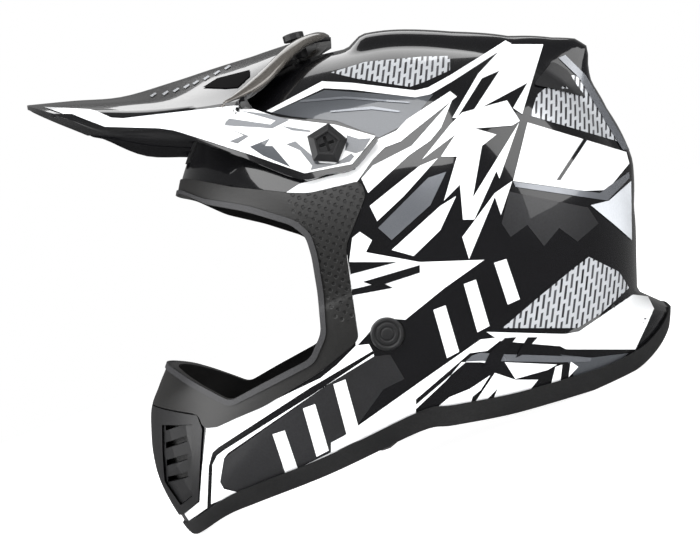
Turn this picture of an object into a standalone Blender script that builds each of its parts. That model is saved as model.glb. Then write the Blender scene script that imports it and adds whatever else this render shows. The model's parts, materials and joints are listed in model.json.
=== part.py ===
"""Motocross helmet as an assembly of separate pieces.

Everything is designed in the frame of the worn helmet, in millimetres: X runs to the rear, Z up,
and Y to the wearer's right, with the mid-plane at Y = 0. The empty "resting_pose" then tips the
helmet back onto the chin and the two rear corners of its edge rubber, with the floor at Z = 0.
"""
import math

import bmesh
import bpy
from mathutils import Matrix, Vector

MM = 0.001

# Driving dimensions, in millimetres and degrees
SHELL_HALF_WIDTH = 121.0
SHELL_WALL = 4.0
CENTRE_X = 30.0
CENTRE_Z = 5.0
REST_TILT = 21.7
REST_SHIFT_X = -16.88
REST_HEIGHT = 116.9
GAP = 0.35
WIDE = 160.0

# The mid-plane outline of the shell's rounded body, as (x, z), from the brow over the crown
BODY_OUTLINE = [
    (-112, 52), (-108, 70), (-99, 92), (-84, 111), (-62, 126.5), (-35, 140.5), (-8, 148), (25, 154.5),
    (66, 153.5), (104, 148), (135, 134), (160, 110), (177, 80), (184.5, 45), (186, 10),
    (186, -20), (181, -50), (165, -90), (130, -125), (80, -150), (20, -163), (-40, -168),
    (-80, -170), (-101, -167), (-112, -154), (-123, -134), (-128, -116), (-129.5, -98),
    (-129, -84), (-124, -70), (-117, -50), (-115, -20), (-115, 15), (-114, 38),
]
# Height of the centre ridge and the rear spoiler over that body, by angle round the centre
RIDGE_RISE = [
    (15, 0), (25, 5), (37.5, 5.5), (44, 9), (46.6, 14), (49.5, 24.5), (52.5, 24), (56.3, 17.5),
    (64.3, 9), (77, 6.9), (96.4, 6.9), (101, 0),
]
# Roundness of the cross-section by angle: 2 is an ellipse, more is squarer
ROUNDNESS = [(0, 2.35), (90, 2.3), (150, 2.3), (180, 2.1), (205, 1.85), (232, 1.9), (265, 2.2), (300, 2.35)]
RINGS = [0.975, 0.94, 0.9, 0.83, 0.72, 0.57, 0.38, 0.19]
OUTLINE_STEPS = 42

# Lower edge of the rubber edge trim in side view, and the height of the trim
EDGE_LINE = [
    (-135, -188), (-101, -167), (-77, -148), (-55, -137), (-12, -118), (41, -91), (62, -87),
    (100, -80), (141, -69), (157, -64), (177, -55), (191, -44), (202.5, -31), (216, -16),
]
TRIM_HEIGHT = 12.5

# The flared lip over the nape: where it starts and how far it stands out
FLARE_START = (105.0, -40.0)
FLARE_END = (186.0, -6.0)
FLARE_REACH = 20.0
FLARE_DEPTH = 12.0

# The eye port in side view, from the brow round the temple to the chin
PORT_RIM = [
    (-150, 54), (-107, 53.5), (-88, 45), (-62, 39.5), (-34.5, 31), (-26, 24), (-22.5, 12.5),
    (-19, -9), (-17, -32), (-23.5, -47.5), (-51.5, -62.5), (-72, -74), (-108, -58.5), (-150, -46),
]
PORT_BORDER = [
    (-150, 64), (-106, 63.5), (-72, 55), (-38, 50.5), (-24, 50), (-2, 55), (6, 57), (9.5, 49),
    (4, 34.5), (-2.3, 18.5), (1.5, -9), (5.3, -35.3), (1.8, -39.7), (-18.6, -56), (-50.7, -76.5),
    (-82, -90.7), (-90, -91.7), (-93, -83.5), (-121, -82), (-150, -82),
]
MOUTH_AREA = [
    (-150, -82.4), (-121, -82.4), (-93.4, -83.9), (-90, -92.1), (-94.5, -139.5), (-107, -152), (-150, -178),
]
GRILLE_WINDOW = [(-119, -93), (-97, -90), (-99, -137), (-108, -145), (-119, -131)]

# The peak: ribs from the centre ridge down to the side edge, as (x, y, z), from front to rear
PEAK_WALL = 3.0
PEAK_RIBS = [
    [(-213, 0, 114), (-210, -12, 112), (-199, -36, 107.5),
     (-184, -60, 102), (-180, -64, 100), (-175.6, -67, 98.5)],
    [(-182, 0, 117), (-180, -13, 114.5), (-170, -45, 109),
     (-156, -74, 101.5), (-151, -81, 96.5), (-146, -88, 88.5)],
    [(-151, 0, 119.5), (-149, -14, 116.5), (-138, -52, 110),
     (-122, -84, 100.5), (-116, -91, 95), (-107, -97, 87.7)],
    [(-118, 0, 129), (-116, -15, 124.5), (-106, -56, 113),
     (-92, -89, 102.5), (-83, -97, 90), (-71, -103, 74.5)],
    [(-86, 0, 139.5), (-84, -16, 135), (-76, -58, 121),
     (-64, -95, 106), (-50, -106, 84), (-30, -114.5, 58)],
    [(-50, 0, 150.5), (-49, -19, 147.8), (-44, -60, 134),
     (-34, -95, 108), (-25, -109, 84), (-14, -117, 61)],
    [(-27, 0, 156.3), (-27, -21, 154.2), (-24, -61, 142),
     (-14, -97, 112), (-4, -111.5, 86), (2, -118.4, 64)],
    [(-12, 0, 157), (-12, -23, 155.4), (-9, -61, 144), (1, -98, 115), (8, -109, 96), (16, -116, 81)],
]
# The top of the peak ends in a V seen from above, and an arm runs back on each side to its knob
PEAK_NOTCH = [
    (-70, -97), (-62, -86), (-44, -66), (-26, -38), (-12.5, -16), (-12.5, 16), (-26, 38), (-44, 66), (-62, 86),
    (-70, 97), (60, 97), (60, -97),
]
PEAK_ARM_ABOVE = [(-66, 103), (-42, 95.5), (-12, 91.8), (18, 83), (60, 70), (60, 200), (-66, 200)]
PEAK_PIVOT = (-13.5, 77.8)
PEAK_BOSS_RADIUS = 12.5
PEAK_BOSS_FACES = (113.6, 116.6)
KNOB_RADIUS = 11.5
KNOB_FACES = (117.1, 123.2)
KNOB_SHANK_RADIUS = 3.0
INSERT_RADIUS = 5.0
INSERT_FACES = (96.5, 107.0)

# The screw at the top of the peak, on the radius from the pivot that leans forward by this angle
TOP_SCREW_LEAN = 16.4
TOP_SCREW_HEAD = (82.4, 86.4)
TOP_SCREW_TIP = 65.5
TOP_SPACER = (69.6, 75.4)

# Straps and their anchors
ANCHOR = (21.7, -32.6)
CAP_RADIUS = 10.0
CAP_FACES = (117.0, 121.4)
STRAP_EDGES = (8.0, 28.0)
STRAP_WALL = 1.8
STRAP_DROP = [(106.3, -50), (105, -62), (103.4, -72), (101, -80), (96, -86), (87, -90), (75, -91.6)]
RING_BARS = {"d_ring_outer": -61.8, "d_ring_inner": -65.2}
RING_BAR_Z = -88.3
RING_WIRE = 1.3


def mix_table(table, at):
    """Reads a table of (place, value) rows, with straight runs between the rows."""
    if at <= table[0][0]:
        return table[0][1]
    for (a, low), (b, high) in zip(table, table[1:]):
        if at <= b:
            return low + (high - low) * (at - a) / (b - a)
    return table[-1][1]


def smooth(low, high, at):
    """Rises from 0 at low to 1 at high, with level ends."""
    t = min(1.0, max(0.0, (at - low) / (high - low)))
    return t * t * (3 - 2 * t)


def curve_between(a, b, c, d, t):
    """The smooth curve that runs from b to c as t goes from 0 to 1, with a and d as its neighbours."""
    bend = 2 * a - 5 * b + 4 * c - d
    twist = 3 * b - a - 3 * c + d
    return 0.5 * (2 * b + (c - a) * t + bend * t * t + twist * t ** 3)


def spline_point(points, at):
    """A point on the closed smooth curve through the points; at runs from 0 to 1 once round."""
    count = len(points)
    place = (at % 1.0) * count
    i = int(place)
    t = place - i
    a, b, c, d = (Vector(points[(i + k) % count]) for k in (-1, 0, 1, 2))
    return curve_between(a, b, c, d, t)


def shell_point(at, reach, side):
    """A point of the outer shell: at runs round the outline, reach is 1 at the mid-plane and 0 at the ear."""
    outline = spline_point(BODY_OUTLINE, at)
    spoke = outline - Vector((CENTRE_X, CENTRE_Z))
    angle = math.degrees(math.atan2(spoke.y, spoke.x)) % 360
    power = mix_table(ROUNDNESS, angle)
    y = side * SHELL_HALF_WIDTH * max(0.0, 1 - reach ** power) ** (1 / power)
    rise = mix_table(RIDGE_RISE, angle) * smooth(0.905, 0.97, reach)
    spoke = spoke * reach + spoke.normalized() * rise
    x = CENTRE_X + spoke.x
    z = CENTRE_Z + spoke.y
    slope = (FLARE_END[1] - FLARE_START[1]) / (FLARE_END[0] - FLARE_START[0])
    start = FLARE_START[1] + (x - FLARE_START[0]) * slope
    lip = FLARE_REACH * smooth(FLARE_START[0], FLARE_END[0], x) * smooth(0, FLARE_DEPTH, start - z)
    out = Vector((x - CENTRE_X, y, 0)).normalized() * lip
    return Vector((x + out.x, y + out.y, z))


def clear_scene():
    """Removes every object, so that the model starts from nothing."""
    for obj in list(bpy.data.objects):
        bpy.data.objects.remove(obj, do_unlink=True)


clear_scene()
PARTS = bpy.data.collections.new("motocross_helmet")
CUTTERS = bpy.data.collections.new("cutters")
bpy.context.scene.collection.children.link(PARTS)
bpy.context.scene.collection.children.link(CUTTERS)
POSE = bpy.data.objects.new("resting_pose", None)
PARTS.objects.link(POSE)
POSE.location = (REST_SHIFT_X * MM, 0, REST_HEIGHT * MM)
POSE.rotation_euler = (0, math.radians(REST_TILT), 0)


def material(name, colour, roughness, metallic=0.0):
    """A Principled material."""
    made = bpy.data.materials.new(name)
    made.use_nodes = True
    shader = made.node_tree.nodes["Principled BSDF"]
    shader.inputs["Base Color"].default_value = (*colour, 1)
    shader.inputs["Roughness"].default_value = roughness
    shader.inputs["Metallic"].default_value = metallic
    return made


GLOSS_PAINT = material("gloss_paint", (0.02, 0.02, 0.022), 0.12)
MATT_BLACK = material("matt_black", (0.03, 0.03, 0.032), 0.5)
RUBBER = material("rubber", (0.025, 0.025, 0.027), 0.7)
FOAM = material("foam", (0.05, 0.05, 0.05), 0.9)
FABRIC = material("fabric", (0.04, 0.04, 0.045), 0.95)
WEBBING = material("webbing", (0.02, 0.02, 0.02), 0.8)
STEEL = material("steel", (0.6, 0.6, 0.6), 0.3, 1.0)
MESH_GREY = material("mesh_grey", (0.1, 0.1, 0.1), 0.6)


def place(name, mesh, look=None, origin=(0, 0, 0)):
    """Puts a mesh drawn in millimetres into the scene, as a part if it has a look and as a cutter if not."""
    mesh.transform(Matrix.Scale(MM, 4) @ Matrix.Translation(-Vector(origin)))
    obj = bpy.data.objects.new(name, mesh)
    obj.location = Vector(origin) * MM
    obj.parent = POSE
    if look:
        mesh.materials.append(look)
        PARTS.objects.link(obj)
    else:
        CUTTERS.objects.link(obj)
        obj.hide_render = True
        obj.display_type = "WIRE"
    return obj


def boolean(obj, cutter, operation="DIFFERENCE"):
    """Adds an exact Boolean with the cutter."""
    step = obj.modifiers.new(operation.lower(), "BOOLEAN")
    step.operation = operation
    step.object = cutter
    step.solver = "EXACT"


def mesh_from(name, work):
    """Turns a bmesh into a mesh."""
    mesh = bpy.data.meshes.new(name)
    work.to_mesh(mesh)
    work.free()
    return mesh


def shell_mesh(name, offset):
    """The closed outer form of the helmet, moved out by the offset along its normals."""
    work = bmesh.new()
    rim = [work.verts.new(shell_point(i / OUTLINE_STEPS, 1.0, 0)) for i in range(OUTLINE_STEPS)]
    for side in (-1, 1):
        rows = [rim]
        for reach in RINGS:
            rows.append([
                work.verts.new(shell_point(i / OUTLINE_STEPS, reach, side)) for i in range(OUTLINE_STEPS)])
        ear = work.verts.new((CENTRE_X, side * SHELL_HALF_WIDTH, CENTRE_Z))
        for outer, inner in zip(rows, rows[1:]):
            for i in range(OUTLINE_STEPS):
                k = (i + 1) % OUTLINE_STEPS
                work.faces.new((outer[i], outer[k], inner[k], inner[i]))
        for i in range(OUTLINE_STEPS):
            work.faces.new((rows[-1][i], rows[-1][(i + 1) % OUTLINE_STEPS], ear))
    bmesh.ops.recalc_face_normals(work, faces=work.faces)
    work.normal_update()
    moves = [(vert, vert.normal * offset) for vert in work.verts]
    for vert, move in moves:
        vert.co += move
    bmesh.ops.triangulate(work, faces=work.faces, quad_method="FIXED")
    return mesh_from(name, work)


FORMS = {}


def form(offset):
    """The cutter with the helmet's form at this offset, made once."""
    if offset not in FORMS:
        FORMS[offset] = place(f"form_{offset:+.1f}", shell_mesh("form", offset))
    return FORMS[offset]


def prism_mesh(name, outline, near, far):
    """A straight prism on an (x, z) outline, from y = near to y = far."""
    curve = bpy.data.curves.new(name, "CURVE")
    curve.dimensions = "2D"
    curve.fill_mode = "BOTH"
    curve.extrude = (far - near) / 2
    spline = curve.splines.new("POLY")
    spline.points.add(len(outline) - 1)
    for point, (x, z) in zip(spline.points, outline):
        point.co = (x, z, 0, 1)
    spline.use_cyclic_u = True
    guide = bpy.data.objects.new(name, curve)
    bpy.context.scene.collection.objects.link(guide)
    bpy.context.view_layer.update()
    mesh = bpy.data.meshes.new_from_object(guide.evaluated_get(bpy.context.evaluated_depsgraph_get()))
    bpy.data.objects.remove(guide)
    mesh.transform(Matrix.Translation((0, (near + far) / 2, 0)) @ Matrix.Rotation(math.radians(90), 4, "X"))
    work = bmesh.new()
    work.from_mesh(mesh)
    bmesh.ops.remove_doubles(work, verts=work.verts, dist=0.001)
    bmesh.ops.recalc_face_normals(work, faces=work.faces)
    work.to_mesh(mesh)
    work.free()
    return mesh


def prism(name, outline, near=-WIDE, far=WIDE):
    """A prism as a cutter."""
    return place(name, prism_mesh(name, outline, near, far))


def cylinder_mesh(name, radius, near, far, centre, sides=24):
    """A cylinder along Y round the (x, z) centre."""
    work = bmesh.new()
    middle = Matrix.Translation((centre[0], (near + far) / 2, centre[1]))
    turn = middle @ Matrix.Rotation(math.radians(90), 4, "X")
    bmesh.ops.create_cone(
        work, cap_ends=True, segments=sides, radius1=radius, radius2=radius, depth=far - near, matrix=turn)
    return mesh_from(name, work)


def radial_mesh(name, radius, low, high, sides=20):
    """A cylinder on the top screw's radius, from distance low to distance high off the peak's pivot."""
    work = bmesh.new()
    lean = Matrix.Rotation(math.radians(-TOP_SCREW_LEAN), 4, "Y")
    pivot = Matrix.Translation((PEAK_PIVOT[0], 0, PEAK_PIVOT[1]))
    turn = pivot @ lean @ Matrix.Translation((0, 0, (low + high) / 2))
    bmesh.ops.create_cone(
        work, cap_ends=True, segments=sides, radius1=radius, radius2=radius, depth=high - low, matrix=turn)
    return mesh_from(name, work)


def dome_mesh(name, centre, half, depth, segments=22, rings=5):
    """A head-shaped hollow: half an ellipsoid over straight walls that run down by the depth."""
    work = bmesh.new()
    rows = []
    levels = [(math.radians(90 * k / rings), 0) for k in range(rings - 1, -1, -1)] + [(0, depth)]
    for rise, drop in levels:
        row = []
        for i in range(segments):
            turn = 2 * math.pi * i / segments
            x = centre[0] + half[0] * math.cos(turn) * math.cos(rise)
            y = centre[1] + half[1] * math.sin(turn) * math.cos(rise)
            row.append(work.verts.new((x, y, centre[2] + half[2] * math.sin(rise) - drop)))
        rows.append(row)
    for upper, lower in zip(rows, rows[1:]):
        for i in range(segments):
            k = (i + 1) % segments
            work.faces.new((upper[i], upper[k], lower[k], lower[i]))
    top = work.verts.new((centre[0], centre[1], centre[2] + half[2]))
    for i in range(segments):
        work.faces.new((rows[0][i], rows[0][(i + 1) % segments], top))
    work.faces.new(rows[-1])
    bmesh.ops.recalc_face_normals(work, faces=work.faces)
    bmesh.ops.triangulate(work, faces=work.faces)
    return mesh_from(name, work)


def layer(name, look, outer, inner, area):
    """A piece of the wall between two offsets of the helmet's form, inside the area."""
    obj = place(name, shell_mesh(name, outer), look)
    boolean(obj, area, "INTERSECT")
    boolean(obj, form(inner))
    return obj


def raised(line, rise):
    """The line moved up."""
    return [(x, z + rise) for x, z in line]


def band(lower, upper):
    """The closed outline between two lines that run the same way."""
    return lower + upper[::-1]


# Shell and its openings
below_edge = prism("below_edge", raised(EDGE_LINE, TRIM_HEIGHT + GAP) + [(230, -260), (-170, -260)])
port_opening = prism("port_opening", PORT_BORDER)
mouth_opening = prism("mouth_opening", MOUTH_AREA)

shell = place("outer_shell", shell_mesh("outer_shell", 0.0), GLOSS_PAINT)
for cutter in (below_edge, port_opening, mouth_opening, form(-SHELL_WALL)):
    boolean(shell, cutter)

# Vents: plates let into the shell, with slots
BROW_VENT = [(-130, 74), (-88, 74), (-72, 102), (-100, 112)]
REAR_VENT = [(112, 118), (128, 137), (160, 137), (160, 112)]


def grown(outline, amount):
    """The outline moved out from its middle by about this much."""
    middle = Vector((sum(p[0] for p in outline), sum(p[1] for p in outline))) / len(outline)
    return [tuple(Vector(p) + (Vector(p) - middle).normalized() * amount) for p in outline]


for side, side_name in ((-1, "left"), (1, "right")):
    for vent_name, outline, inboard, outboard in (
            ("brow_vent", BROW_VENT, 14, 40), ("rear_vent", REAR_VENT, 52, 86)):
        near, far = sorted((side * inboard, side * outboard))
        hole = prism(f"{vent_name}_hole_{side_name}", grown(outline, 0.5), near - 0.4, far + 0.4)
        boolean(shell, hole)
        area = prism(f"{vent_name}_area_{side_name}", outline, near, far)
        layer(f"{vent_name}_{side_name}", MATT_BLACK, 0.8, -3.0, area)

# Eye port frame
port_hollow = prism("port_hollow", PORT_RIM)
port_area = prism("port_area", grown(PORT_BORDER, -GAP))
port_frame = layer("eyeport_trim", MATT_BLACK, 1.0, -6.0, port_area)
boolean(port_frame, port_hollow)

# Mouthpiece, its two grilles and the dust mesh behind them
mouth_area = prism("mouth_area", grown(MOUTH_AREA, -GAP * 1.6))
mouthpiece = layer("mouthpiece", MATT_BLACK, 1.2, -6.0, mouth_area)
LOUVRES = 4
for side, side_name in ((-1, "left"), (1, "right")):
    near, far = sorted((side * 4, side * WIDE))
    boolean(mouthpiece, prism(f"grille_window_{side_name}", GRILLE_WINDOW, near, far))
    near, far = sorted((side * 4.5, side * WIDE))
    area = prism(f"grille_area_{side_name}", grown(GRILLE_WINDOW, -GAP * 1.4), near, far)
    grille = layer(f"chin_grille_{side_name}", MATT_BLACK, 0.0, -5.0, area)
    for i in range(LOUVRES):
        low = -131 + 11.5 * i
        slot = [(-116.5, low), (-101, low + 6.5), (-101, low + 10.5), (-116.5, low + 4)]
        boolean(grille, prism(f"grille_slot_{side_name}_{i}", slot))
mesh_area = prism("mesh_area", grown(GRILLE_WINDOW, -1.0))
layer("mouth_mesh", MESH_GREY, -6.5, -8.0, mesh_area)

# Edge rubber, cut flat where the helmet rests
trim_area = prism("trim_area", band(EDGE_LINE, raised(EDGE_LINE, TRIM_HEIGHT)))
edge_trim = layer("neck_trim", RUBBER, 1.6, -6.5, trim_area)
floor_mesh = prism_mesh("floor_cut", [(-400, -200), (400, -200), (400, 0), (-400, 0)], -WIDE * 2, WIDE * 2)
floor_cut = place("floor_cut", floor_mesh)
floor_cut.parent = None
boolean(edge_trim, floor_cut)

# Linings
HEAD_CENTRE = (40.0, 0.0, 22.0)
CAVITY_HALF = (112.0, 88.0, 104.0)
LINER_AREA = [
    (-130, 68), (-106, 66.5), (-72, 58), (-24, 53), (8, 60), (13, 58), (13, 0), (72, -2), (72, -56),
    (84, -48.5), (110, -40), (140, -31),
    (160, -19), (186, -8), (260, 12), (260, 220), (-130, 220),
]
cavity = place("head_cavity", dome_mesh("head_cavity", HEAD_CENTRE, CAVITY_HALF, 160))
crown = place("crown_liner", shell_mesh("crown_liner", -SHELL_WALL - 0.6), FOAM)
boolean(crown, prism("liner_area", LINER_AREA), "INTERSECT")
boolean(crown, cavity)

COMFORT_AREA = [(-130, 70), (-20, 60), (60, 44), (150, -20), (200, -20), (200, 200), (-130, 200)]
comfort = place("comfort_liner", dome_mesh(
    "comfort_liner", HEAD_CENTRE, tuple(half - 0.5 for half in CAVITY_HALF), 100), FABRIC)
boolean(comfort, prism("comfort_area", COMFORT_AREA), "INTERSECT")
boolean(comfort, place("comfort_hollow", dome_mesh(
    "comfort_hollow", HEAD_CENTRE, tuple(half - 9 for half in CAVITY_HALF), 160)))

CHIN_LINER_AREA = [(-86, -94.5), (-51, -79.5), (-49, -120), (-66, -127), (-84, -138)]
CHEEK_AREA = [
    (-42, -72), (-20, -55), (-14, -36), (2, -5), (66, -5), (66, -62), (38, -68), (-10, -92), (-40, -104),
]
for side, side_name in ((-1, "left"), (1, "right")):
    near, far = sorted((side * 10, side * WIDE))
    area = prism(f"chin_liner_area_{side_name}", CHIN_LINER_AREA, near, far)
    layer(f"chin_liner_{side_name}", FOAM, -7.5, -22.0, area)
    near, far = sorted((side * 60, side * WIDE))
    pad = place(f"cheek_pad_{side_name}", shell_mesh("cheek_pad", -11.5), FABRIC)
    boolean(pad, prism(f"cheek_area_{side_name}", CHEEK_AREA, near, far), "INTERSECT")

# The collar at the nape: a round bar bent along the inside of the edge
ROLL_RADIUS = 10.0
ROLL_ROUTE = [(84, -85, -62), (110, -79, -54), (140, -65, -45), (160, -40, -34), (168, 0, -28)]


def tube_mesh(name, route, radius, resolution, closed=False):
    """A round bar along a smooth curve through the route."""
    curve = bpy.data.curves.new(name, "CURVE")
    curve.dimensions = "3D"
    curve.bevel_depth = radius
    curve.bevel_resolution = resolution
    curve.use_fill_caps = not closed
    spline = curve.splines.new("POLY")
    spline.points.add(len(route) - 1)
    for point, spot in zip(spline.points, route):
        point.co = (*spot, 1)
    spline.use_cyclic_u = closed
    guide = bpy.data.objects.new(name, curve)
    bpy.context.scene.collection.objects.link(guide)
    bpy.context.view_layer.update()
    mesh = bpy.data.meshes.new_from_object(guide.evaluated_get(bpy.context.evaluated_depsgraph_get()))
    bpy.data.objects.remove(guide)
    work = bmesh.new()
    work.from_mesh(mesh)
    bmesh.ops.remove_doubles(work, verts=work.verts, dist=0.001)
    bmesh.ops.recalc_face_normals(work, faces=work.faces)
    work.to_mesh(mesh)
    work.free()
    return mesh


def smooth_route(points, steps):
    """Points on a smooth open curve through the given ones."""
    ends = [Vector(points[0]) * 2 - Vector(points[1])] + [Vector(p) for p in points]
    ends.append(Vector(points[-1]) * 2 - Vector(points[-2]))
    route = []
    for a, b, c, d in zip(ends, ends[1:], ends[2:], ends[3:]):
        for k in range(steps):
            t = k / steps
            route.append(curve_between(a, b, c, d, t))
    route.append(Vector(points[-1]))
    return route


roll_points = ROLL_ROUTE + [(x, -y, z) for x, y, z in ROLL_ROUTE[-2::-1]]
place("neck_roll", tube_mesh("neck_roll", smooth_route(roll_points, 3), ROLL_RADIUS, 2), FABRIC)

# Peak
work = bmesh.new()
rib_rows = [[work.verts.new(spot) for spot in rib] for rib in PEAK_RIBS]
for front, rear in zip(rib_rows, rib_rows[1:]):
    for k in range(len(front) - 1):
        work.faces.new((front[k], front[k + 1], rear[k + 1], rear[k]))
pivot = (PEAK_PIVOT[0], 0, PEAK_PIVOT[1])
peak = place("peak", mesh_from("peak", work), MATT_BLACK, pivot)
half = peak.modifiers.new("mirror", "MIRROR")
half.use_axis = (False, True, False)
half.merge_threshold = 0.0001
wall = peak.modifiers.new("wall", "SOLIDIFY")
wall.thickness = PEAK_WALL * MM
wall.offset = -1
wall.use_even_offset = True
slot_mesh = radial_mesh("peak_slot", 3.4, 60, 100, 16)
lean = Matrix.Rotation(math.radians(-TOP_SCREW_LEAN), 4, "Y")
to_pivot = Matrix.Translation((pivot[0], 0, pivot[2]))
slot_mesh.transform(to_pivot @ lean @ Matrix.Scale(3.6, 4, (1, 0, 0)) @ lean.inverted() @ to_pivot.inverted())
boolean(peak, place("peak_slot", slot_mesh))
notch_mesh = prism_mesh("peak_notch", PEAK_NOTCH, 60, 200)
notch_mesh.transform(Matrix.Rotation(math.radians(90), 4, "X"))
boolean(peak, place("peak_notch", notch_mesh))


def side_cylinder(name, radius, inboard, outboard, centre, side, sides=24):
    """A cylinder along Y on one side, between two distances from the mid-plane."""
    near, far = sorted((side * inboard, side * outboard))
    return cylinder_mesh(name, radius, near, far, centre, sides)


for side, side_name in ((-1, "left"), (1, "right")):
    near, far = sorted((side * 88, side * WIDE))
    boolean(peak, prism(f"peak_arm_{side_name}", PEAK_ARM_ABOVE, near, far))
    boss = side_cylinder("boss", PEAK_BOSS_RADIUS, 110.5, PEAK_BOSS_FACES[1], PEAK_PIVOT, side)
    boolean(peak, place(f"peak_boss_{side_name}", boss), "UNION")
    bore = side_cylinder("bore", KNOB_SHANK_RADIUS + 0.8, 90, 140, PEAK_PIVOT, side)
    boolean(peak, place(f"peak_bore_{side_name}", bore))

    head = side_cylinder("knob", KNOB_RADIUS, *KNOB_FACES, PEAK_PIVOT, side, 5)
    knob = place(f"peak_knob_{side_name}", head, MATT_BLACK, pivot)
    shank = side_cylinder("shank", KNOB_SHANK_RADIUS, 102, KNOB_FACES[0] + 1, PEAK_PIVOT, side, 16)
    boolean(knob, place(f"knob_shank_{side_name}", shank), "UNION")
    near, far = sorted((side * (KNOB_FACES[1] - 2.5), side * (KNOB_FACES[1] + 2)))
    for turn in (0, 90):
        cross = prism_mesh("cross", [(-4, -1), (4, -1), (4, 1), (-4, 1)], near, far)
        cross.transform(Matrix.Translation(pivot) @ Matrix.Rotation(math.radians(turn), 4, "Y"))
        boolean(knob, place(f"knob_cross_{side_name}_{turn}", cross))

    sleeve = side_cylinder("insert", INSERT_RADIUS, *INSERT_FACES, PEAK_PIVOT, side)
    insert = place(f"peak_insert_{side_name}", sleeve, STEEL)
    flange = side_cylinder("flange", 6.5, INSERT_FACES[0] - 2, INSERT_FACES[0] + 0.5, PEAK_PIVOT, side)
    boolean(insert, place(f"insert_flange_{side_name}", flange), "UNION")
    bore = side_cylinder("insert_bore", KNOB_SHANK_RADIUS + 0.35, 80, 140, PEAK_PIVOT, side, 16)
    boolean(insert, place(f"insert_bore_{side_name}", bore))
    hole = side_cylinder("insert_hole", INSERT_RADIUS + GAP, 90, 140, PEAK_PIVOT, side)
    boolean(shell, place(f"insert_hole_{side_name}", hole))
    pocket = side_cylinder("insert_pocket", 9, INSERT_FACES[0] - 3, 140, PEAK_PIVOT, side)
    boolean(crown, place(f"insert_pocket_{side_name}", pocket))

screw = place("peak_top_screw", radial_mesh("peak_top_screw", 7, *TOP_SCREW_HEAD), MATT_BLACK)
shank = radial_mesh("shank", 2.5, TOP_SCREW_TIP, TOP_SCREW_HEAD[0] + 1, 16)
boolean(screw, place("top_screw_shank", shank), "UNION")
spacer = place("peak_spacer", radial_mesh("peak_spacer", 6, *TOP_SPACER), MATT_BLACK)
boolean(spacer, place("spacer_bore", radial_mesh("spacer_bore", 3, 50, 110, 16)))
boolean(shell, place("top_screw_hole", radial_mesh("top_screw_hole", 3, 50, 110, 16)))

# Straps, anchors and the two D-rings
PLATE_AREA = [(12, -22), (32, -22), (32, -60), (12, -60)]


def ribbon(name, path, look):
    """Webbing: a strip along the (y, z) path between the two strap edges."""
    made = bmesh.new()
    edges = [[made.verts.new((x, y, z)) for y, z in path] for x in STRAP_EDGES]
    for k in range(len(path) - 1):
        made.faces.new((edges[0][k], edges[0][k + 1], edges[1][k + 1], edges[1][k]))
    obj = place(name, mesh_from(name, made), look)
    thick = obj.modifiers.new("wall", "SOLIDIFY")
    thick.thickness = STRAP_WALL * MM
    thick.offset = 0
    thick.use_even_offset = True
    return obj


LOOP_END = [(62, -91.8), (59.3, -90.9), (58.3, -88.3), (59.3, -85.7), (62, -84.8), (69, -85.0), (75, -86.2)]
TONGUE_END = [(60, -92.4), (44, -92), (28, -91), (12, -90)]
ribbon("chin_strap_left", [(-y, z) for y, z in STRAP_DROP + LOOP_END], WEBBING)
ribbon("chin_strap_right", STRAP_DROP + TONGUE_END, WEBBING)

for side, side_name in ((-1, "left"), (1, "right")):
    near, far = sorted((side * 90, side * WIDE))
    area = prism(f"plate_area_{side_name}", PLATE_AREA, near, far)
    plate = layer(f"strap_plate_{side_name}", STEEL, -SHELL_WALL - 0.5, -SHELL_WALL - 2.0, area)
    rivet_hole = place(f"rivet_hole_{side_name}", side_cylinder("rivet_hole", 3.4, 80, 140, ANCHOR, side, 16))
    boolean(plate, rivet_hole)
    boolean(shell, rivet_hole)
    recess = side_cylinder("cap_recess", CAP_RADIUS + 0.4, CAP_FACES[0] - 0.4, 140, ANCHOR, side)
    boolean(shell, place(f"cap_recess_{side_name}", recess))
    disc = side_cylinder("strap_cap", CAP_RADIUS, *CAP_FACES, ANCHOR, side)
    cap = place(f"strap_cap_{side_name}", disc, MATT_BLACK)
    ring_hollow = side_cylinder("cap_ring", 6.5, CAP_FACES[1] - 1.2, 140, ANCHOR, side)
    boolean(cap, place(f"cap_ring_outer_{side_name}", ring_hollow))
    pin = side_cylinder("strap_rivet", 3, 110.5, CAP_FACES[0] - 0.8, ANCHOR, side, 16)
    rivet = place(f"strap_rivet_{side_name}", pin, STEEL)
    rivet_head = side_cylinder("rivet_head", 6, 109.5, 111.3, ANCHOR, side, 16)
    boolean(rivet, place(f"rivet_head_{side_name}", rivet_head), "UNION")

for ring_name, bar_y in RING_BARS.items():
    first, last = STRAP_EDGES[0] - 3.2, STRAP_EDGES[1] + 3.2
    middle = (first + last) / 2
    radius = (last - first) / 2
    ring = [(first, bar_y, RING_BAR_Z), (last, bar_y, RING_BAR_Z), (last, bar_y, RING_BAR_Z - 4)]
    for k in range(1, 9):
        turn = math.pi * k / 9
        ring.append((middle + radius * math.cos(turn), bar_y, RING_BAR_Z - 4 - radius * math.sin(turn)))
    ring.append((first, bar_y, RING_BAR_Z - 4))
    origin = (middle, bar_y, RING_BAR_Z)
    place(ring_name, tube_mesh(ring_name, ring, RING_WIRE, 1, True), STEEL, origin)

for obj in PARTS.objects:
    if obj.type == "MESH":
        obj.data.set_sharp_from_angle(angle=math.radians(35))
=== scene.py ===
"""Looks of the motocross helmet: fine shells, painted shards, fabric linings, light and camera.

The helmet is drawn in the frame of the worn helmet, in millimetres: X to the rear, Z up, Y to the wearer's
right. WORN carries that frame into the CAD model's, where the helmet rests tipped back.
"""
import json
import math

import bmesh
import bpy
from mathutils import Matrix, Vector, geometry
from mathutils.bvhtree import BVHTree

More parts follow.
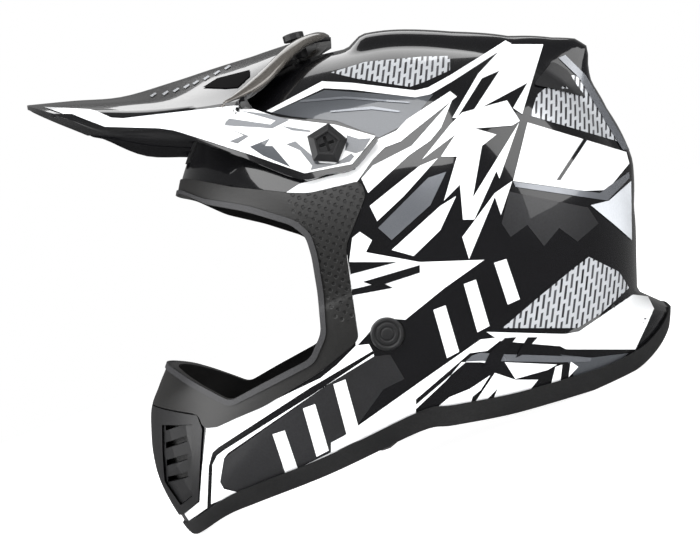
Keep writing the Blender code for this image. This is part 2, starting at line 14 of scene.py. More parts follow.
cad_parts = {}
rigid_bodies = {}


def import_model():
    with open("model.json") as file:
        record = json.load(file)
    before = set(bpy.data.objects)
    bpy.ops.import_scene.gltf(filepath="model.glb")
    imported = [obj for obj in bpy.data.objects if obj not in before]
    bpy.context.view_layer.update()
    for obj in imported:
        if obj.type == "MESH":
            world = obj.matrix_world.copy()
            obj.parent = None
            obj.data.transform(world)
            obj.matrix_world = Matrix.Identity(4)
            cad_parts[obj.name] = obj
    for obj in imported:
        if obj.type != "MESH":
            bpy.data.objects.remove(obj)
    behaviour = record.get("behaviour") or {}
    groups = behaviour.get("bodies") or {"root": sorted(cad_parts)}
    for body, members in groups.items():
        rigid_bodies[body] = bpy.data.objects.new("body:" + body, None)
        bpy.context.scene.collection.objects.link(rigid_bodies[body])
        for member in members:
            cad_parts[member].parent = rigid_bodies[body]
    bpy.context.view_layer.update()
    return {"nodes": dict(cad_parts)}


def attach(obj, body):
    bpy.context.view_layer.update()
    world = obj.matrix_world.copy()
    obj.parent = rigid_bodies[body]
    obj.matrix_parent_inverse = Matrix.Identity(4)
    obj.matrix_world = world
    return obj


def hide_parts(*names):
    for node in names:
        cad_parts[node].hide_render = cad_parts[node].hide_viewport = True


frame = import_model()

MM = 0.001
REST_TILT = math.radians(21.7)
WORN = Matrix.Translation((-0.01688, 0, 0.1169)) @ Matrix.Rotation(REST_TILT, 4, "Y") @ Matrix.Scale(MM, 4)
CAMERA_DISTANCE = 1000.0
FRAME_WIDTH = 462.0
SENSOR = 36.0

# Shape of the shell, after the CAD model's
SHELL_HALF_WIDTH = 121.0
SHELL_WALL = 4.0
CENTRE_X = 30.0
CENTRE_Z = 5.0
BODY_OUTLINE = [
    (-112, 52), (-108, 70), (-99, 92), (-84, 111), (-62, 126.5), (-35, 140.5), (-8, 148), (25, 154.5),
    (66, 153.5), (104, 148), (135, 134), (160, 110), (177, 80), (184.5, 45), (186, 10),
    (186, -20), (181, -50), (165, -90), (130, -125), (80, -150), (20, -163), (-40, -168),
    (-80, -170), (-101, -167), (-112, -154), (-123, -134), (-128, -116), (-129.5, -98),
    (-129, -84), (-124, -70), (-117, -50), (-115, -20), (-115, 15), (-114, 38),
]
RIDGE_RISE = [
    (15, 0), (25, 5), (37.5, 5.5), (44, 9), (46.6, 14), (49.5, 24.5), (52.5, 24), (56.3, 17.5),
    (64.3, 9), (77, 6.9), (98.6, 6.9), (102.5, 0),
]
ROUNDNESS = [(0, 2.35), (90, 2.3), (150, 2.3), (180, 2.1), (205, 1.85), (232, 1.9), (265, 2.2), (300, 2.35)]
EDGE_LINE = [
    (-135, -188), (-101, -167), (-77, -148), (-55, -137), (-12, -118), (41, -91), (62, -87),
    (100, -80), (141, -69), (157, -64), (177, -55), (191, -44), (202.5, -31), (216, -16),
]
TRIM_HEIGHT = 12.5
FLARE_START = (105.0, -40.0)
FLARE_END = (186.0, -6.0)
FLARE_REACH = 20.0
FLARE_DEPTH = 12.0
PORT_RIM = [
    (-150, 54), (-107, 53.5), (-88, 45), (-62, 39.5), (-34.5, 31), (-26, 24), (-22.5, 12.5),
    (-19, -9), (-17, -32), (-23.5, -47.5), (-51.5, -62.5), (-72, -74), (-108, -58.5), (-150, -46),
]
PORT_BORDER = [
    (-150, 64), (-106, 63.5), (-72, 55), (-38, 50.5), (-24, 50), (-2, 55), (6, 57), (9.5, 49),
    (4, 34.5), (-2.3, 18.5), (1.5, -9), (5.3, -35.3), (1.8, -39.7), (-18.6, -56), (-50.7, -76.5),
    (-82, -90.7), (-90, -91.7), (-93, -83.5), (-121, -82), (-150, -82),
]
MOUTH_AREA = [
    (-150, -82.4), (-121, -82.4), (-93.4, -83.9), (-90, -92.1), (-94.5, -139.5), (-107, -152), (-150, -178),
]
GRILLE_WINDOW = [(-119, -93), (-97, -90), (-99, -137), (-108, -145), (-119, -131)]
PEAK_PIVOT = (-13.5, 77.8)
ANCHOR = (21.7, -32.6)
WIDE = 160.0
# Steps round the outline and rings from the mid-plane to the ear, for what shows and for cutters
FINE_FORM = (300, 72)
CUTTER_FORM = (130, 26)

# The paint scheme, with a band of painted shade: outlines on the mid-plane, laid onto the shell along lines
# from the camera's place
TREAD_PATCHES = [
    [(-12.5, 135.5), (10, 142.5), (47.5, 146), (66, 146.5), (66, 137), (49.5, 129.5), (39.5, 126),
     (4, 131.5)],
    [(123.5, 121), (140.5, 134), (152, 133.5), (177, 90), (119, 107)],
    [(100.5, -33), (124.5, -12.5), (147, 6), (157.5, 14), (177.5, 4), (184, -6.5), (165, -24),
     (150, -33)],
]
GREY_PATCHES = [
    [(-51.5, 109), (-16.5, 124), (44, 119.5), (55, 121), (40.5, 103.5), (19, 92.5), (8, 97),
     (-8.5, 103.5), (-38.5, 106.5)],
    [(148, -68), (173.5, -60), (183.5, -49.5), (159.5, -52.5), (139, -50.5), (146.5, -58.5)],
]
DARK_PATCHES = [
    [(105, 57), (157, 46.5), (164, 36), (150, 24), (138, 33), (128, 21), (117, 35), (106, 27), (100, 36)],
    [(-83, -119), (-80.5, -117), (-16, -71.5), (7, -57), (16, -51.5), (26.5, -50.5), (36, -66.5),
     (22, -73.5), (-5.5, -111.5), (-50, -133), (-72.5, -141.5), (-83.5, -138), (-85.5, -134.5)],
]
# The first outline is painted shade: a grey band under the lower edge of the white rear panel, where the
# real shell steps in under a crease; the second is a steel-grey line
STEEL_AND_SHADE_PATCHES = [
    [(107.5, 63.5), (164.5, 56), (183.5, 70), (184, 66), (169.5, 51), (109, 60)],
    [(137.5, 145), (142, 147), (155, 134), (184, 84.5), (179.5, 84.5), (151, 132)],
]
PALE_PATCHES = [
    [(170.5, 51), (185, 64), (185.5, 25), (176, 33.5), (158.5, 48)],
]
WHITE_PATCHES = [
    [(-55, 110), (-18.5, 129.5), (1.5, 128.5), (43, 123.5), (51.5, 125.5), (66, 133.5), (86, 146),
     (102.5, 156.5), (106.5, 154.5), (87, 142), (67.5, 129.5), (53, 121), (43, 119), (1.5, 124),
     (-17, 125), (-51.5, 109)],
    [(66, 123), (70.5, 119.5), (42, 97), (33.5, 90), (23, 86), (15, 78), (4, 62.5), (-1.5, 62.5),
     (9, 82), (18.5, 91.5), (30.5, 97), (37.5, 104.5)],
    [(7.5, 65.5), (15, 74), (40.5, 87), (67.5, 117.5), (60, 99), (53, 90.5), (38.5, 80.5), (12, 56)],
    [(102.5, 154), (127.5, 154), (113.5, 108), (107.5, 112), (117, 128.5), (80.5, 109), (98.5, 136.5),
     (87, 131.5), (70.5, 105.5), (67.5, 105.5), (84.5, 134.5)],
    [(103.5, 117), (112, 103.5), (107, 100.5), (82.5, 98.5), (96.5, 94.5), (87, 87), (81, 53),
     (111.5, 102.5), (98.5, 65.5), (96.5, 70.5), (82, 38.5), (74.5, 38.5), (72.5, 61.5), (62, 51),
     (70.5, 80), (60, 80), (69.5, 94.5), (47.5, 78), (66.5, 101.5), (74, 109)],
    [(107, 64), (99.5, 41.5), (95.5, 53.5), (78.5, 12.5), (74, 27), (95.5, 56)],
    [(13, 47.5), (46, 74), (58, 79), (35.5, 54), (18, 37.5)],
    [(27.5, 18.5), (59.5, 47.5), (70, 54), (59.5, 31.5), (42, 14.5)],
    [(-0.5, 10.5), (1.5, 26.5), (6.5, 30.5), (14.5, 25), (10.5, 17), (46, 10.5), (88.5, 12),
     (62.5, -6.5), (36.5, -27.5), (23, -26.5), (14, -34.5), (4, -45.5), (1.5, -27.5)],
    [(117, 102.5), (182, 83), (184, 75.5), (169.5, 58), (154.5, 57.5), (107.5, 64)],
    [(90, -35.5), (142, -37), (151, -35.5), (186.5, -11), (196.5, -12.5), (200.5, -20.5), (188, -47),
     (142.5, -47), (138.5, -45), (99, -41.5)],
    [(-94.5, -99), (-87.5, -98.5), (-19.5, -66), (-9, -57.5), (4, -44.5), (12.5, -43.5), (15, -48),
     (-26.5, -72.5), (-86.5, -111.5), (-90.5, -115), (-93, -124.5), (-94, -151.5), (-106, -160),
     (-109, -155.5), (-99, -147.5), (-97.5, -126.5)],
    [(-91.5, -149), (-90.5, -123), (-87.5, -117), (-83, -113.5), (-26.5, -78), (15.5, -50),
     (16, -51.5), (-16, -71), (-80.5, -115.5), (-83, -119), (-85.5, -134.5), (-83, -139),
     (-72.5, -141.5)],
    [(-50, -133), (-5.5, -111.5), (43.5, -76), (43.5, -89.5), (30, -97), (0, -109.5), (-33.5, -126.5)],
    [(-12.5, -108.5), (-4, -104), (47.5, -67.5), (86, -40.5), (99, -39), (100.5, -40), (90.5, -48),
     (79, -49.5), (40.5, -82.5), (0.5, -107.5), (-12.5, -117)],
    [(4.5, -107), (43.5, -83.5), (81, -51.5), (87.5, -50.5), (102, -50.5), (96.5, -57), (86, -55.5),
     (73.5, -55.5), (63.5, -67.5), (37.5, -92)],
    [(50.5, -91), (65.5, -78.5), (79, -73), (92.5, -64), (86, -74), (70, -87)],
    [(73.5, -86), (80, -76.5), (81.5, -76), (79, -85)],
    [(81, -84), (95.5, -62.5), (109, -67), (124, -67), (116.5, -76.5), (94, -81), (97.5, -72.5),
     (87.5, -83)],
    [(109, -66.5), (102, -55.5), (136.5, -57), (130.5, -60.5)],
    [(132, -72), (135.5, -58.5), (140, -57), (138.5, -70.5)],
    [(144, -65.5), (145.5, -55), (150.5, -58.5)],
    [(-42.5, 56), (-33.5, 62), (4, 71.5), (-0.5, 62), (-25.5, 55.5)],
]
GREY_SLIVERS = [
    [(18.5, 33), (51.5, 66), (63.5, 70), (53, 48), (27.5, 25)],
    [(-33, 117), (-3.5, 119.5), (39.5, 116), (39, 115), (-3.5, 118), (-32.5, 115.5)],
    [(-13, 110), (14.5, 113), (33, 110), (32.5, 109), (14.5, 111), (-12.5, 109)],
    [(80.5, -51), (86, -49), (96.5, -50), (145, -51.5), (159.5, -52.5), (158, -55), (136.5, -55.5),
     (87.5, -54.5), (76, -55)],
    [(3.5, 84.5), (14.5, 93), (16, 91.5), (5.5, 82.5)],
]
BLACK_PATCHES = [
    [(-0.5, 10.5), (31, 10.5), (0.5, 2.5)],
    [(1.5, -7.5), (14.5, -4.5), (8.5, -2.5), (46, 8.5), (46, 3.5), (23, -4), (28.5, -6.5),
     (1.5, -11.5)],
    [(87.5, -58.5), (92.5, -48.5), (102, -39.5), (109.5, -39), (102, -48.5), (97, -60.5)],
    [(112, -47), (117, -39), (123.5, -39), (113.5, -50.5), (109, -52.5)],
    [(155, 93.5), (157.5, 93), (138.5, 64.5), (136, 64.5)],
]

# Slanted bars along the chin: the middle's (x, z) and a height that sets the bar's length
BARS = [
    (-42, -116, 26), (-22, -101, 30), (-2, -86, 32), (64, -36, 30), (84, -19, 30), (104, -3, 26),
]


def mix_table(table, at):
    """Reads a table of (place, value) rows, with straight runs between the rows."""
    if at <= table[0][0]:
        return table[0][1]
    for (a, low), (b, high) in zip(table, table[1:]):
        if at <= b:
            return low + (high - low) * (at - a) / (b - a)
    return table[-1][1]


def smooth(low, high, at):
    """Rises from 0 at low to 1 at high, with level ends."""
    t = min(1, max(0, (at - low) / (high - low)))
    return t * t * (3 - 2 * t)


def curve_between(a, b, c, d, t):
    """The point at t, from 0 at b to 1 at c, of the smooth curve through four points."""
    square = (2 * a - 5 * b + 4 * c - d) * t * t
    cube = (3 * b - a - 3 * c + d) * t ** 3
    return 0.5 * (2 * b + (c - a) * t + square + cube)


def spline_point(points, at):
    """A point on the closed smooth curve through the points; at runs from 0 to 1 once round."""
    count = len(points)
    place = (at % 1.0) * count
    i = int(place)
    t = place - i
    a, b, c, d = (Vector(points[(i + k) % count]) for k in (-1, 0, 1, 2))
    return curve_between(a, b, c, d, t)


def shell_point(at, reach, side):
    """A point of the shell: at runs round the outline, reach is 1 at the mid-plane and 0 at the ear."""
    outline = spline_point(BODY_OUTLINE, at)
    spoke = outline - Vector((CENTRE_X, CENTRE_Z))
    angle = math.degrees(math.atan2(spoke.y, spoke.x)) % 360
    power = mix_table(ROUNDNESS, angle)
    y = side * SHELL_HALF_WIDTH * max(0.0, 1 - reach ** power) ** (1 / power)
    rise = mix_table(RIDGE_RISE, angle) * smooth(0.925, 0.965, reach)
    spoke = spoke * reach + spoke.normalized() * rise
    x = CENTRE_X + spoke.x
    z = CENTRE_Z + spoke.y
    run = FLARE_END[0] - FLARE_START[0]
    start = FLARE_START[1] + (x - FLARE_START[0]) * (FLARE_END[1] - FLARE_START[1]) / run
    lip = FLARE_REACH * smooth(FLARE_START[0], FLARE_END[0], x) * smooth(0, FLARE_DEPTH, start - z)
    out = Vector((x - CENTRE_X, y, 0)).normalized() * lip
    return Vector((x + out.x, y + out.y, z))


# ---------------------------------------------------------------- materials

def new_material(name):
    """A node material, with its tree and its Principled shader."""
    made = bpy.data.materials.new(name)
    made.use_nodes = True
    return made, made.node_tree, made.node_tree.nodes["Principled BSDF"]


def add(tree, kind, **settings):
    """Adds a node with these settings; inputs are given as in_NAME with spaces as underscores."""
    node = tree.nodes.new(kind)
    for key, value in settings.items():
        if key.startswith("in_"):
            node.inputs[key[3:].replace("_", " ")].default_value = value
        else:
            setattr(node, key, value)
    return node


def surface(name, dark, light, rough, metallic=0.0, coat=0.0, grain=800.0, bump=0.05,
            bump_size=0.0002, sheen=0.0, stretch=(1, 1, 1)):
    """A paint, plastic or cloth whose colour, roughness and surface vary with fine noise."""
    made, tree, shader = new_material(name)
    where = add(tree, "ShaderNodeTexCoord")
    scale = add(tree, "ShaderNodeMapping")
    scale.inputs["Scale"].default_value = stretch
    tree.links.new(where.outputs["Object"], scale.inputs["Vector"])
    noise = add(tree, "ShaderNodeTexNoise", in_Scale=grain, in_Detail=4.0)
    tree.links.new(scale.outputs["Vector"], noise.inputs["Vector"])
    broad = add(tree, "ShaderNodeTexNoise", in_Scale=18.0, in_Detail=2.0)
    tree.links.new(scale.outputs["Vector"], broad.inputs["Vector"])
    blend = add(tree, "ShaderNodeMath", operation="MULTIPLY")
    tree.links.new(noise.outputs["Fac"], blend.inputs[0])
    tree.links.new(broad.outputs["Fac"], blend.inputs[1])
    tint = add(tree, "ShaderNodeValToRGB")
    tint.color_ramp.elements[0].position = 0.15
    tint.color_ramp.elements[0].color = (*dark, 1)
    tint.color_ramp.elements[1].position = 0.4
    tint.color_ramp.elements[1].color = (*light, 1)
    tree.links.new(blend.outputs["Value"], tint.inputs["Fac"])
    tree.links.new(tint.outputs["Color"], shader.inputs["Base Color"])
    rub = add(tree, "ShaderNodeMapRange", in_To_Min=rough[0], in_To_Max=rough[1])
    tree.links.new(broad.outputs["Fac"], rub.inputs["Value"])
    tree.links.new(rub.outputs["Result"], shader.inputs["Roughness"])
    if bump:
        raised = add(tree, "ShaderNodeBump", in_Strength=bump, in_Distance=bump_size)
        tree.links.new(noise.outputs["Fac"], raised.inputs["Height"])
        tree.links.new(raised.outputs["Normal"], shader.inputs["Normal"])
    shader.inputs["Metallic"].default_value = metallic
    shader.inputs["Coat Weight"].default_value = coat
    shader.inputs["Coat Roughness"].default_value = 0.03
    shader.inputs["Specular IOR Level"].default_value = 0.5 - 0.35 * coat
    shader.inputs["Sheen Weight"].default_value = sheen
    return made


PAINT_BLACK = surface(
    "paint_black", (0.0035, 0.0035, 0.004), (0.005, 0.005, 0.006), (0.12, 0.2), coat=1.0, bump=0)
PAINT_WHITE = surface(
    "paint_white", (0.80, 0.81, 0.82), (0.86, 0.87, 0.88), (0.28, 0.36), coat=0.8, bump=0)
PAINT_DARK = surface(
    "paint_dark", (0.014, 0.014, 0.015), (0.020, 0.020, 0.022), (0.3, 0.4), coat=0.5, bump=0)
PAINT_GREY = surface(
    "paint_grey", (0.065, 0.07, 0.078), (0.095, 0.10, 0.11), (0.25, 0.35), 0.35, 1.0, 2500, bump=0)
# Steel grey, also used for the band of painted shade under the white rear panel
PAINT_STEEL_AND_SHADE = surface(
    "paint_steel_and_shade", (0.17, 0.18, 0.20), (0.24, 0.25, 0.27), (0.22, 0.3), 0.6, 1.0, 2500, bump=0)
# The lip's bronze is a painted highlight: the studio's light band on the glossy lip, given as colour
LIP_PAINTED_HIGHLIGHT = surface(
    "lip_painted_highlight", (0.11, 0.10, 0.09), (0.16, 0.15, 0.135), (0.2, 0.28), 0.5, 1.0, bump=0)
PAINT_PALE = surface(
    "paint_pale", (0.50, 0.52, 0.55), (0.58, 0.60, 0.63), (0.3, 0.36), coat=0.8, bump=0)
PLASTIC = surface(
    "moulded_black", (0.007, 0.007, 0.0075), (0.014, 0.014, 0.015), (0.38, 0.5), grain=1400, bump=0.25)
RUBBER = surface(
    "edge_rubber", (0.007, 0.007, 0.0075), (0.014, 0.014, 0.0145), (0.5, 0.62), grain=900, bump=0.3)
LIP_GREY = surface(
    "port_lip", (0.026, 0.026, 0.028), (0.042, 0.042, 0.045), (0.5, 0.6), grain=1100, bump=0.3)
FOAM = surface(
    "bead_foam", (0.012, 0.012, 0.013), (0.03, 0.03, 0.032), (0.8, 0.9), grain=260, bump=0.8,
    bump_size=0.0008)
CLOTH = surface(
    "lining_cloth", (0.014, 0.014, 0.016), (0.03, 0.03, 0.034), (0.85, 0.95), grain=1500, bump=0.6,
    bump_size=0.0004, sheen=0.4)
WEBBING = surface(
    "webbing", (0.010, 0.010, 0.011), (0.028, 0.028, 0.030), (0.7, 0.8), grain=900, bump=0.7,
    bump_size=0.0004, stretch=(1, 4, 1))
STEEL = surface("plated_steel", (0.5, 0.5, 0.5), (0.62, 0.62, 0.63), (0.2, 0.32), 1.0, grain=700)
THREAD = surface("thread", (0.02, 0.02, 0.02), (0.05, 0.05, 0.05), (0.7, 0.8), grain=2200, bump=0.4)
DUST_MESH = surface(
    "dust_mesh", (0.02, 0.02, 0.02), (0.08, 0.08, 0.08), (0.6, 0.7), grain=1800, bump=0.8)
# Painted shade: a near-black, dull sheet laid where the peak's vent opens, standing for the dark inside of
# the hole
VENT_PAINTED_SHADE = surface(
    "vent_painted_shade", (0.001, 0.001, 0.001), (0.002, 0.002, 0.002), (0.9, 1.0), grain=1400, bump=0.2)
VENT_PAINTED_SHADE.node_tree.nodes["Principled BSDF"].inputs["Specular IOR Level"].default_value = 0.1

# Dimples lie behind the first X and above the first Z, in metres, and are full from the second on
DIMPLE_FADE_X = (-0.036, -0.030)
DIMPLE_FADE_Z = (0.092, 0.098)
DIMPLES_PER_METRE = 235.0
DIMPLE_RIM = (0.2, 0.3)
DIMPLE_DEPTH = 0.0005


def dimpled_material():
    """Moulded black plastic with rows of small dimples on the helmet's sides, their hollows darkened as
    painted shade.
    """
    made = surface(
        "dimpled_black", (0.008, 0.0078, 0.0076), (0.015, 0.0146, 0.0142), (0.38, 0.5), grain=1400, bump=0.2)
    tree = made.node_tree
    shader = tree.nodes["Principled BSDF"]
    where = add(tree, "ShaderNodeTexCoord")
    turn = add(tree, "ShaderNodeMapping")
    turn.inputs["Rotation"].default_value = (0, math.radians(45), 0)
    turn.inputs["Scale"].default_value = (1, 0, 1)
    tree.links.new(where.outputs["Object"], turn.inputs["Vector"])
    cells = add(tree, "ShaderNodeTexVoronoi", in_Scale=DIMPLES_PER_METRE, in_Randomness=0.0)
    tree.links.new(turn.outputs["Vector"], cells.inputs["Vector"])
    bowl = add(tree, "ShaderNodeMapRange", in_From_Min=DIMPLE_RIM[0], in_From_Max=DIMPLE_RIM[1])
    tree.links.new(cells.outputs["Distance"], bowl.inputs["Value"])
    split = add(tree, "ShaderNodeSeparateXYZ")
    tree.links.new(where.outputs["Object"], split.inputs["Vector"])
    behind = add(tree, "ShaderNodeMapRange", in_From_Min=DIMPLE_FADE_X[0], in_From_Max=DIMPLE_FADE_X[1])
    tree.links.new(split.outputs["X"], behind.inputs["Value"])
    above = add(tree, "ShaderNodeMapRange", in_From_Min=DIMPLE_FADE_Z[0], in_From_Max=DIMPLE_FADE_Z[1])
    tree.links.new(split.outputs["Z"], above.inputs["Value"])
    area = add(tree, "ShaderNodeMath", operation="MULTIPLY")
    tree.links.new(behind.outputs["Result"], area.inputs[0])
    tree.links.new(above.outputs["Result"], area.inputs[1])
    dents = add(tree, "ShaderNodeBump", in_Distance=DIMPLE_DEPTH)
    tree.links.new(area.outputs["Value"], dents.inputs["Strength"])
    tree.links.new(bowl.outputs["Result"], dents.inputs["Height"])
    grain = next(node for node in tree.nodes if node.bl_idname == "ShaderNodeBump" and node != dents)
    tree.links.new(dents.outputs["Normal"], grain.inputs["Normal"])
    tree.links.new(grain.outputs["Normal"], shader.inputs["Normal"])
    # The dimples' hollows are darkened towards near black: painted shade
    hollow = add(tree, "ShaderNodeMath", operation="SUBTRACT")
    hollow.inputs[0].default_value = 1.0
    tree.links.new(bowl.outputs["Result"], hollow.inputs[1])
    shade = add(tree, "ShaderNodeMath", operation="MULTIPLY")
    tree.links.new(hollow.outputs["Value"], shade.inputs[0])
    tree.links.new(area.outputs["Value"], shade.inputs[1])
    colour = shader.inputs["Base Color"].links[0].from_socket
    painted_shade = add(tree, "ShaderNodeMix", data_type="RGBA")
    painted_shade.inputs["B"].default_value = (0.003, 0.003, 0.003, 1)
    tree.links.new(shade.outputs["Value"], painted_shade.inputs["Factor"])
    tree.links.new(colour, painted_shade.inputs["A"])
    tree.links.new(painted_shade.outputs["Result"], shader.inputs["Base Color"])
    return made


DIMPLED = dimpled_material()


def tread_material():
    """Silver skewed blocks with dark joints, a tread pattern under clear coat."""
    made, tree, shader = new_material("tread_silver")
    where = add(tree, "ShaderNodeTexCoord")
    turn = add(tree, "ShaderNodeMapping")
    turn.inputs["Rotation"].default_value = (math.radians(90), 0, 0)
    tree.links.new(where.outputs["Object"], turn.inputs["Vector"])
    skew = add(tree, "ShaderNodeSeparateXYZ")
    tree.links.new(turn.outputs["Vector"], skew.inputs["Vector"])
    lean = add(tree, "ShaderNodeMath", operation="MULTIPLY_ADD")
    lean.inputs[1].default_value = 0.55
    tree.links.new(skew.outputs["Y"], lean.inputs[0])
    tree.links.new(skew.outputs["X"], lean.inputs[2])
    joined = add(tree, "ShaderNodeCombineXYZ")
    tree.links.new(skew.outputs["Y"], joined.inputs["X"])
    tree.links.new(lean.outputs["Value"], joined.inputs["Y"])
    brick = add(
        tree, "ShaderNodeTexBrick", offset=0.5, in_Scale=1.0, in_Mortar_Size=0.0011,
        in_Mortar_Smooth=0.1, in_Brick_Width=0.0095, in_Row_Height=0.0037)
    brick.inputs["Color1"].default_value = (0.02, 0.02, 0.022, 1)
    brick.inputs["Color2"].default_value = (0.10, 0.10, 0.11, 1)
    brick.inputs["Mortar"].default_value = (0.62, 0.64, 0.67, 1)
    tree.links.new(joined.outputs["Vector"], brick.inputs["Vector"])
    tree.links.new(brick.outputs["Color"], shader.inputs["Base Color"])
    shader.inputs["Roughness"].default_value = 0.25
    shader.inputs["Metallic"].default_value = 0.4
    shader.inputs["Coat Weight"].default_value = 1.0
    shader.inputs["Coat Roughness"].default_value = 0.03
    return made


TREAD = tread_material()


# ---------------------------------------------------------------- helpers

def link(obj):
    """Puts an object in the scene."""
    bpy.context.scene.collection.objects.link(obj)


def show(name, mesh, look, body="helmet"):
    """Puts a mesh drawn in worn millimetres on a body."""
    mesh.transform(WORN)
    obj = bpy.data.objects.new(name, mesh)
    link(obj)
    mesh.materials.append(look)
    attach(obj, body)
    return obj


def mesh_from(name, work):
    """Turns a bmesh into a mesh."""
    mesh = bpy.data.meshes.new(name)
    work.to_mesh(mesh)
    work.free()
    return mesh


def form_mesh(name, offset, steps=FINE_FORM[0], rings=FINE_FORM[1]):
    """The closed outer form of the helmet, moved out by the offset along its normals."""
    work = bmesh.new()
    rim = [work.verts.new(shell_point(i / steps, 1.0, 0)) for i in range(steps)]
    for side in (-1, 1):
        rows = [rim]
        for k in range(1, rings):
            reach = math.cos(math.pi / 2 * k / rings)
            rows.append([work.verts.new(shell_point(i / steps, reach, side)) for i in range(steps)])
        ear = work.verts.new((CENTRE_X, side * SHELL_HALF_WIDTH, CENTRE_Z))
        for outer, inner in zip(rows, rows[1:]):
            for i in range(steps):
                k = (i + 1) % steps
                work.faces.new((outer[i], outer[k], inner[k], inner[i]))
        for i in range(steps):
            work.faces.new((rows[-1][i], rows[-1][(i + 1) % steps], ear))
    bmesh.ops.recalc_face_normals(work, faces=work.faces)
    work.normal_update()
    moves = [(vert, vert.normal * offset) for vert in work.verts]
    for vert, move in moves:
        vert.co += move
    return mesh_from(name, work)


FORMS = {}


def form(offset):
    """A coarser form of the helmet as a cutter, made once for each offset."""
    if offset not in FORMS:
        obj = bpy.data.objects.new("form", form_mesh("form", offset, *CUTTER_FORM))
        link(obj)
        FORMS[offset] = obj
    return FORMS[offset]


def prism(outline, near=-WIDE, far=WIDE):
    """A straight prism on an (x, z) outline, from y = near to y = far, as a cutter."""
    work = bmesh.new()
    verts = [work.verts.new((x, near, z)) for x, z in outline]
    face = work.faces.new(verts)
    swept = bmesh.ops.extrude_face_region(work, geom=[face])
    for item in swept["geom"]:
        if isinstance(item, bmesh.types.BMVert):
            item.co.y = far
    bmesh.ops.recalc_face_normals(work, faces=work.faces)
    obj = bpy.data.objects.new("prism", mesh_from("prism", work))
    link(obj)
    return obj


def cylinder(radius, near, far, centre, sides=48):
    """A cylinder along Y round the (x, z) centre, as a cutter."""
    work = bmesh.new()
    middle = Matrix.Translation((centre[0], (near + far) / 2, centre[1]))
    turn = middle @ Matrix.Rotation(math.radians(90), 4, "X")
    bmesh.ops.create_cone(
        work, cap_ends=True, segments=sides, radius1=radius, radius2=radius, depth=abs(far - near),
        matrix=turn)
    obj = bpy.data.objects.new("cylinder", mesh_from("cylinder", work))
    link(obj)
    return obj


def carve(mesh, steps):
    """Applies exact Booleans, given as (operation, cutter), to a mesh in millimetres."""
    obj = bpy.data.objects.new("carving", mesh)
    link(obj)
    for operation, cutter in steps:
        step = obj.modifiers.new("cut", "BOOLEAN")
        step.operation = operation
        step.object = cutter
        step.solver = "EXACT"
    bpy.context.view_layer.update()
    done = bpy.data.meshes.new_from_object(obj.evaluated_get(bpy.context.evaluated_depsgraph_get()))
    bpy.data.objects.remove(obj)
    return done


def discard_cutters():
    """Removes what was only made to cut with."""
    for obj in list(bpy.data.objects):
        if obj.name.startswith(("form", "prism", "cylinder")):
            bpy.data.objects.remove(obj)
    FORMS.clear()


def finish_edges(obj, width=0.0004, angle=35):
    """Rounds the sharp edges a little and shades the rest smooth."""
    edge = obj.modifiers.new("edge", "BEVEL")
    edge.width = width
    edge.segments = 2
    edge.limit_method = "ANGLE"
    edge.angle_limit = math.radians(angle)
    edge.harden_normals = True
    obj.data.shade_smooth()
    obj.data.set_sharp_from_angle(angle=math.radians(angle))


def raised(line, rise):
    """The line moved up."""
    return [(x, z + rise) for x, z in line]


def rounded(points, radius, steps=4):
    """The closed outline with its corners rounded."""
    out = []
    count = len(points)
    for i, spot in enumerate(points):
        here = Vector(spot)
        back = Vector(points[i - 1]) - here
        on = Vector(points[(i + 1) % count]) - here
        cut = min(radius, back.length * 0.45, on.length * 0.45)
        a = here + back.normalized() * cut
        b = here + on.normalized() * cut
        for k in range(steps + 1):
            t = k / steps
            out.append(tuple(a * (1 - t) ** 2 + here * 2 * t * (1 - t) + b * t * t))
    return out


def open_curve(points, steps=6):
    """A smooth open line through the points."""
    ends = [Vector(points[0]) * 2 - Vector(points[1])] + [Vector(p) for p in points]
    ends.append(Vector(points[-1]) * 2 - Vector(points[-2]))
    line = []
    for a, b, c, d in zip(ends, ends[1:], ends[2:], ends[3:]):
        for k in range(steps):
            t = k / steps
            line.append(curve_between(a, b, c, d, t))
    line.append(Vector(points[-1]))
    return [tuple(p) for p in line]


def grown(outline, amount):
    """The outline moved out from its middle by about this much."""
    middle = Vector((sum(p[0] for p in outline), sum(p[1] for p in outline))) / len(outline)
    return [tuple(Vector(p) + (Vector(p) - middle).normalized() * amount) for p in outline]


# ---------------------------------------------------------------- camera, light, floor

def worn_point(x, y, z):
    """A point of the worn frame in the CAD model's frame."""
    return WORN @ Vector((x, y, z))


camera_data = bpy.data.cameras.new("camera")
camera = bpy.data.objects.new("camera", camera_data)
link(camera)
bpy.context.scene.camera = camera
camera_data.sensor_width = SENSOR
camera_data.lens = SENSOR * CAMERA_DISTANCE / FRAME_WIDTH
camera.matrix_world = (Matrix.Translation(worn_point(0, -CAMERA_DISTANCE, 0))
                       @ Matrix.Rotation(REST_TILT, 4, "Y") @ Matrix.Rotation(math.radians(90), 4, "X"))

floor_mesh = bpy.data.meshes.new("floor")
work = bmesh.new()
bmesh.ops.create_grid(work, x_segments=1, y_segments=1, size=6)
work.to_mesh(floor_mesh)
work.free()
floor = bpy.data.objects.new("floor", floor_mesh)
link(floor)
floor.location.z = -0.0005
floor.visible_glossy = False
floor_look, floor_tree, floor_shader = new_material("floor")
floor_shader.inputs["Base Color"].default_value = (0.9, 0.9, 0.9, 1)
floor_shader.inputs["Roughness"].default_value = 0.9
floor_shader.inputs["Emission Color"].default_value = (1, 1, 1, 1)
floor_shader.inputs["Emission Strength"].default_value = 0.95
floor_mesh.materials.append(floor_look)

